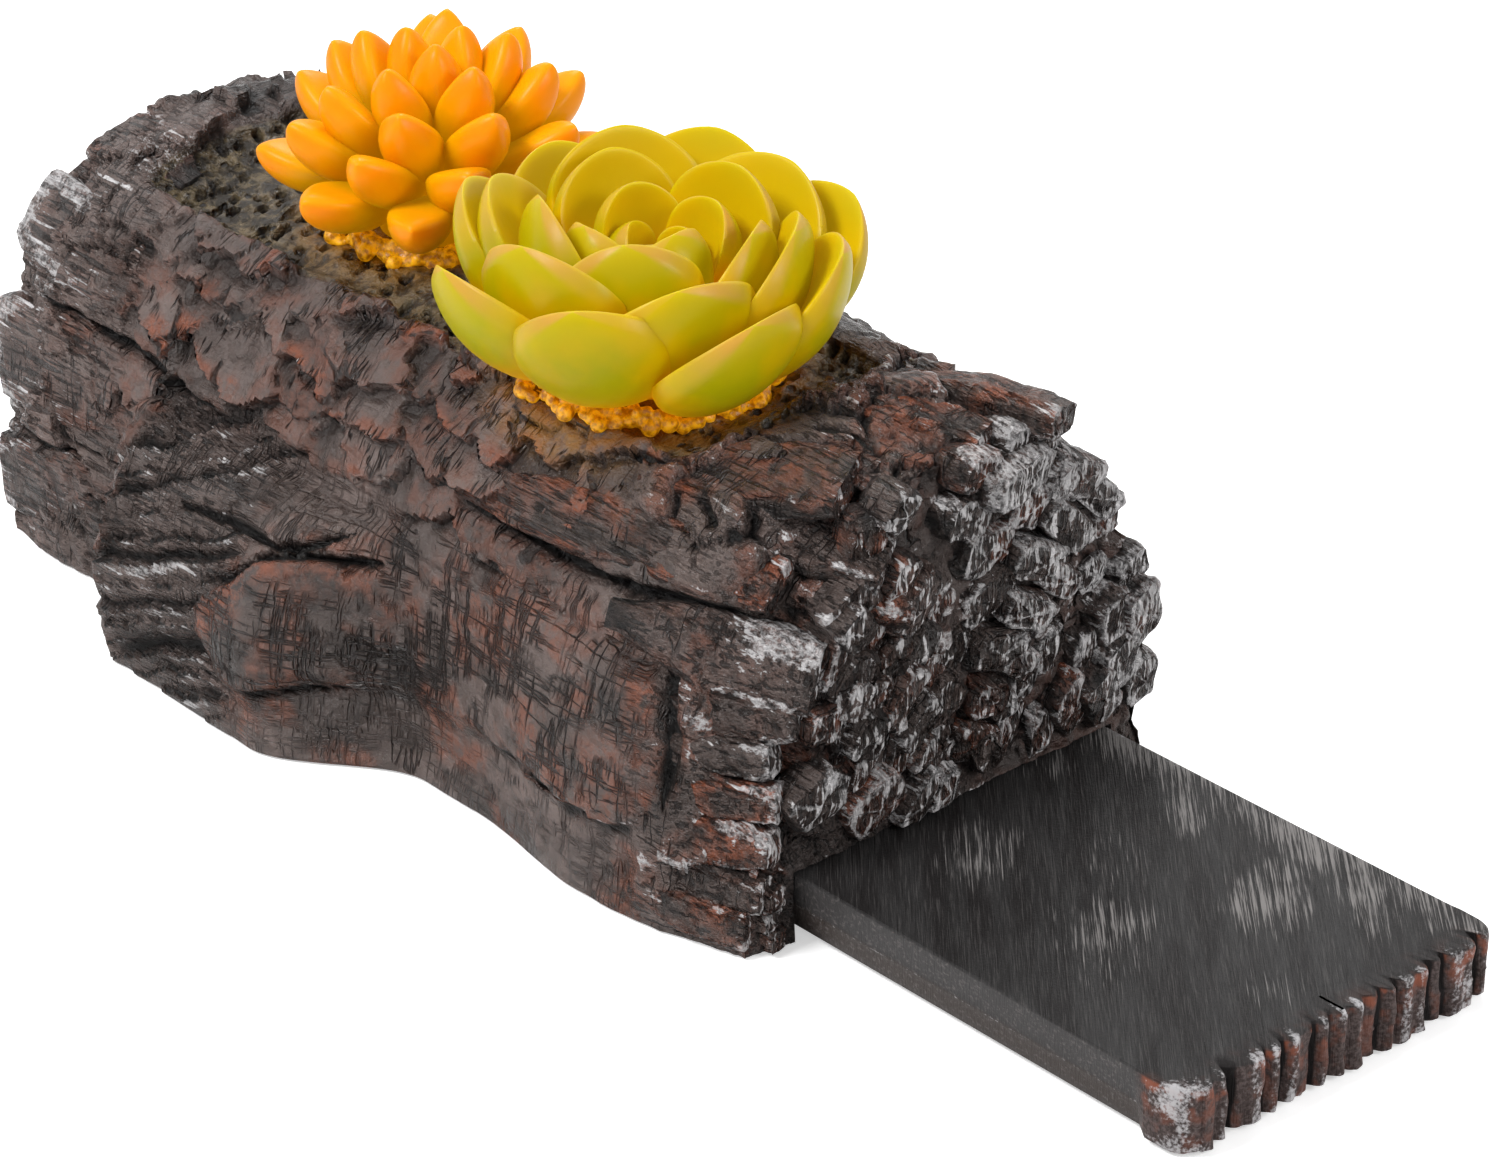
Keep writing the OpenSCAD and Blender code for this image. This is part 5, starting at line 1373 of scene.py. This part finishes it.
def plank_mesh():
    outline = plank_outline()
    x, y = outline.T
    count = len(outline)
    ends = smooth((x - PLANK_FRONT + FLUTED_LEN) / 3.0)
    face = smooth((x - PLANK_FRONT + 2.5) / 2.0)
    step = (2 * PLANK_HALF - 8) / FLUTES
    levels = [(0.4, 0.5), (0.9, 0.0), (2.6, 0.0), (4.2, 0.0), (5.3, 0.0), (5.6, -0.12), (5.95, 0.0), (7.4, 0.0),
              (9.0, 0.0), (10.6, 0.0), (11.5, 0.0), (12.1, 0.1), (12.4, 0.5)]
    points = []
    worn = []
    for z, bevel in levels:
        lower = PLANK_HALF - 2.2 + 0.9 * (z - PLANK_FOOT) / (PLANK_RIDGE - PLANK_FOOT)
        upper = PLANK_HALF - 1.3 + 1.3 * (z - PLANK_RIDGE) / (PLANK_TOP - PLANK_RIDGE)
        half = min(lower, upper) if z < PLANK_RIDGE else upper
        half = half - bevel
        narrowed = half / PLANK_HALF
        share = ends * 1.0 + (1 - ends) * narrowed
        place_2d = np.stack([y / 2.2, np.full(count, z / 5.0), x / 9.0], axis=1)
        ragged = layered(place_2d, 3, 301)
        depth = np.zeros(count)
        shift = 0.5 * grain(np.stack([y / step, np.full(count, z / 4.0), np.zeros(count)], axis=1), 311)
        for i in range(FLUTES):
            middle = -PLANK_HALF + 4 + step * (i + 0.8)
            narrow = 0.3 * step * (1 if i % 3 == 1 else 0.8)
            depth += flute_depth(i) * np.exp(-((y + shift - middle) / narrow) ** 2)
            if i % 4 == 2:
                depth += 0.8 * smooth(1.4 - np.abs(y - middle + 0.42 * step) / (0.4 * step))
        inward = face * (depth + 0.35 * ragged + bevel * (1.2 + 0.5 * ragged))
        side_ragged = ends * (1 - face) * 0.3 * ragged
        px = x - inward
        py = y * share - np.sign(y) * (side_ragged + ends * bevel * 0.8)
        points.append(np.stack([px, py, np.full(count, z)], axis=1))
        edge_band = 0.75 if z > 11.4 or z < 1.0 else 0.25
        land = face * (smooth((0.9 - depth) / 0.7) * (0.35 + 0.5 * edge_band) + 0.3 * ragged)
        corner_frost = ends * smooth((-y - PLANK_HALF + 5) / 3) * (0.4 + 0.5 * ragged)
        # A pale line along the side's ridge, where its two slopes meet: a painted highlight of the ridge catching
        # light.
        ridge = (1 - ends) * (0.55 if abs(z - PLANK_RIDGE) < 0.1 else 0.0)
        rim = (1 - ends) * (0.4 if z > 12.0 else 0.0) * (y > 0)
        value = np.maximum.reduce([land, corner_frost, ridge, rim])
        # Deep flutes get a negative mark, which the finish paints near-black: painted shade in them.
        value = np.where(face * depth > 1.3, -smooth((depth - 1.0) / 1.2), value)
        worn.append(value)
    end_marks = [ends] * len(levels)
    for first, ring in ((0, points[0]), (len(points) + 1, points[-1])):
        inner = ring.copy()
        inner[:, 0] = np.clip(inner[:, 0], PLANK_BACK + 2, PLANK_FRONT - 6.5)
        inner[:, 1] = inner[:, 1] * 0.95
        points.insert(first, inner)
        worn.insert(first, np.zeros(count))
        end_marks.insert(first, np.zeros(count))
    rings = len(points)
    points = np.concatenate(points)
    faces = grid_faces(rings, count, closed_rows=True)
    faces.append(list(range(count)))
    faces.append([(rings - 1) * count + k for k in reversed(range(count))])
    marks = {"end": np.concatenate(end_marks), "worn": np.concatenate(worn)}
    return outward(mesh_of("sliding_plank", points, faces, marks))


# The panel: a tray, cells in rows and the thin bars that join them

def solar_mesh(material):
    tree = Growth("solar_cells")
    length = tree.size("Length")
    width = tree.size("Width")
    count = 7
    tray = tree.node("GeometryNodeMeshCube", values={"Size": tree.vector(length, width, 0.0018)}, out="Mesh")
    tray = tree.node("GeometryNodeTransform", values={"Geometry": tray, "Translation": (0, 0, -0.0015)})
    tray = tree.node("GeometryNodeStoreNamedAttribute", {"data_type": "FLOAT", "domain": "POINT"},
                     {"Geometry": tray, "Name": "bar", "Value": 2.0})
    parts = [tray]
    rims = ((0.0, 1.0, 1.0, 0.0), (0.0, -1.0, 1.0, 0.0), (1.0, 0.0, 0.0, 1.0), (-1.0, 0.0, 0.0, 1.0))
    for sx, sy, wide, tall in rims:
        size = tree.vector(length * wide + 0.002 * (1 - wide), width * tall + 0.002 * (1 - tall), 0.0022)
        rail = tree.node("GeometryNodeMeshCube", values={"Size": size}, out="Mesh")
        spot = tree.vector((length / 2 - 0.001) * sx, (width / 2 - 0.001) * sy, -0.0012)
        rail = tree.node("GeometryNodeTransform", values={"Geometry": rail, "Translation": spot})
        parts.append(tree.node("GeometryNodeStoreNamedAttribute", {"data_type": "FLOAT", "domain": "POINT"},
                               {"Geometry": rail, "Name": "bar", "Value": 2.0}))
    index = tree.node("GeometryNodeInputIndex")
    pitch = (length - 0.006) / count
    row = tree.node("GeometryNodePoints", values={
        "Count": count, "Position": tree.vector((index - (count - 1) / 2) * pitch, 0.0, -0.00045)})
    cell = tree.node("GeometryNodeMeshCube", values={"Size": tree.vector(pitch - 0.0006, width - 0.006, 0.0005)},
                     out="Mesh")
    cell = tree.node("GeometryNodeStoreNamedAttribute", {"data_type": "FLOAT", "domain": "POINT"},
                     {"Geometry": cell, "Name": "bar", "Value": 0.0})
    parts.append(tree.node("GeometryNodeInstanceOnPoints", values={"Points": row, "Instance": cell}))
    lines = tree.node("GeometryNodePoints", values={
        "Count": 3, "Position": tree.vector(0.0, (index - 1) * (width * 0.26), -0.00015)})
    strip = tree.node("GeometryNodeMeshCube", values={"Size": tree.vector(length - 0.006, 0.0007, 0.0002)}, out="Mesh")
    strip = tree.node("GeometryNodeStoreNamedAttribute", {"data_type": "FLOAT", "domain": "POINT"},
                      {"Geometry": strip, "Name": "bar", "Value": 1.0})
    parts.append(tree.node("GeometryNodeInstanceOnPoints", values={"Points": lines, "Instance": strip}))
    whole = tree.node("GeometryNodeTransform", values={
        "Geometry": tree.join(parts), "Rotation": (math.radians(PANEL_TILT - 90), 0, 0),
        "Translation": tuple(Vector(PANEL_MIDDLE) * MM)})
    tree.finish(whole, material)
    mesh = tree.grow("solar_panel_cells", {"Length": PANEL_SIZE[0] * MM, "Width": PANEL_SIZE[1] * MM})
    mesh.polygons.foreach_set("use_smooth", [False] * len(mesh.polygons))
    return mesh


# Putting the pieces together

def add(piece, body, node):
    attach(piece, body)
    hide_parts(node)


finishes = {
    "bark": bark_finish(),
    "plank": plank_finish(),
    "green_leaf": petal_finish("green_leaf", paint(208, 140, 0), paint(192, 162, 0), paint(180, 162, 10),
                               paint(202, 134, 84), 0.8, 0.55, paint(160, 158, 0)),
    "orange_leaf": petal_finish("orange_leaf", paint(150, 114, 0), paint(226, 158, 0), paint(244, 138, 2),
                                paint(248, 128, 8), 0.52, 0.4, paint(206, 152, 0)),
    "amber_resin": amber_finish(),
    "led": led_finish(),
    "solar_cell": solar_finish(),
    "board": board_finish(),
    "cell_sleeve": sleeve_finish(),
    "red_wire": moulded_finish("red_wire", paint(168, 30, 26), paint(128, 18, 18), 0.42, 900),
    "black_wire": moulded_finish("black_wire", paint(36, 36, 38), paint(20, 20, 22), 0.42, 900),
    "contact_metal": metal_finish("contact_metal", paint(206, 204, 196), paint(164, 160, 150), 0.24),
    "screw_steel": metal_finish("screw_steel", paint(188, 188, 186), paint(138, 138, 138), 0.28),
    "seal_rubber": moulded_finish("seal_rubber", paint(44, 44, 46), paint(28, 28, 30), 0.68, 700),
    "black_plastic": moulded_finish("black_plastic", paint(40, 40, 42), paint(26, 26, 28), 0.5, 1200),
    "white_plastic": moulded_finish("white_plastic", paint(224, 222, 216), paint(206, 203, 196), 0.45, 1200),
}

log = place(outward(log_mesh()), "bark_log_blank", finishes["bark"])
log = place(cut_pocket(log), "bark_log", finishes["bark"], 62)
add(log, "log", "log_shell")
slabs = place(front_slabs(), "front_bark_slabs", finishes["bark"], 50)
add(slabs, "log", "log_shell")

green = place(green_succulent(finishes["green_leaf"]), "green_rosette_petals", finishes["green_leaf"], 70)
add(green, "log", "green_rosette")
orange = place(orange_succulent(finishes["orange_leaf"]), "orange_rosette_leaves", finishes["orange_leaf"], 70)
add(orange, "log", "orange_rosette")

for name, middle, radius in (("green", GREEN, 21.5), ("orange", ORANGE, 18.5)):
    frill = place(amber_frill(name + "_amber_frill", middle, radius, finishes["amber_resin"]),
                  name + "_amber_frill", finishes["amber_resin"], 70)
    add(frill, "log", name + "_glow_bead")

plank = place(plank_mesh(), "sliding_plank", finishes["plank"], 40)
add(plank, "plank", "key_plank")

panel = place(solar_mesh(finishes["solar_cell"]), "solar_panel_cells", finishes["solar_cell"])
add(panel, "log", "solar_panel")

slot_of = {
    "base_frame": "black_plastic", "green_led": "led", "orange_led": "led", "green_led_lead": "red_wire",
    "orange_led_lead": "red_wire", "panel_lead": "black_wire", "circuit_board": "board",
    "board_parts": "black_plastic", "battery_cell": "cell_sleeve", "spring_contact": "contact_metal",
    "plate_contact": "contact_metal", "battery_leads": "black_wire", "battery_door": "black_plastic",
    "door_seal": "seal_rubber", "door_screw": "screw_steel", "switch_body": "black_plastic",
    "switch_knob": "white_plastic",
}
for name, slot in slot_of.items():
    for holder in nodes[name].material_slots:
        holder.material = finishes[slot]


# Floor, light and camera

def floor_finish():
    f = Finish("pale_floor")
    paper = f.noise(60, 3, 0.5)
    colour = f.mix(paper, paint(246, 246, 246), paint(250, 250, 250))
    seen = f.node("ShaderNodeLightPath", out="Is Camera Ray")
    glow = f.mix(seen, (0, 0, 0, 1), (0.5, 0.5, 0.5, 1))
    return f.surface(Base_Color=colour, Roughness=0.9, Emission_Color=glow, Emission_Strength=1.0,
                     Specular_IOR_Level=0.1)


floor_mesh = mesh_of("floor", [(-3000, -3000, -0.5), (3000, -3000, -0.5), (3000, 3000, -0.5), (-3000, 3000, -0.5)],
                     [[0, 1, 2, 3]])
place(floor_mesh, "floor", floor_finish())


def studio_world():
    world = bpy.data.worlds.new("studio")
    world.use_nodes = True
    scene.world = world
    g = Graph(world.node_tree)
    g.tree.nodes.clear()
    rays = ("Is Camera Ray", "Is Glossy Ray", "Is Transmission Ray")
    camera_ray, glossy_ray, clear_ray = [g.node("ShaderNodeLightPath", out=ray) for ray in rays]
    seen = camera_ray.most(glossy_ray).most(clear_ray)
    soft = g.node("ShaderNodeBackground", values={"Color": (1, 1, 1, 1), "Strength": 0.36})
    white = g.node("ShaderNodeBackground", values={"Color": (1, 1, 1, 1), "Strength": 1.0})
    both = g.node("ShaderNodeMixShader", values={0: seen, 1: soft, 2: white})
    g.node("ShaderNodeOutputWorld", values={"Surface": both})


def softbox(name, spot, aim, size, power):
    lamp = bpy.data.lights.new(name, "AREA")
    lamp.shape = "RECTANGLE"
    lamp.size, lamp.size_y = size
    lamp.energy = power
    piece = bpy.data.objects.new(name, lamp)
    scene.collection.objects.link(piece)
    piece.location = spot
    piece.rotation_euler = (Vector(aim) - Vector(spot)).to_track_quat("-Z", "Y").to_euler()


studio_world()
softbox("key_light", (-0.1, -0.65, 0.85), (0, 0, 0.03), (0.4, 0.3), 9.0)
softbox("fill_light", (0.9, 0.25, 0.55), (0, 0, 0.03), (0.3, 0.3), 4.0)
softbox("back_light", (-0.5, 0.5, 0.8), (0, 0, 0.03), (0.4, 0.4), 4.0)

# The photograph's camera: its aim, its direction and its lens
AIM = Vector((5.0, 42.5, 0.0)) * MM
AZIMUTH = math.radians(47.9)
ELEVATION = math.radians(28.2)
camera_data = bpy.data.cameras.new("camera")
camera_data.sensor_width = 36.0
camera_data.sensor_fit = "HORIZONTAL"
camera_data.lens = 128.83
camera_data.clip_start = 0.01
camera = bpy.data.objects.new("camera", camera_data)
scene.collection.objects.link(camera)
back = Vector((math.sin(AZIMUTH) * math.cos(ELEVATION), -math.cos(AZIMUTH) * math.cos(ELEVATION), math.sin(ELEVATION)))
camera.location = AIM + back * 1.0
camera.rotation_euler = back.to_track_quat("Z", "Y").to_euler()
scene.camera = camera

scene.view_settings.view_transform = "Standard"
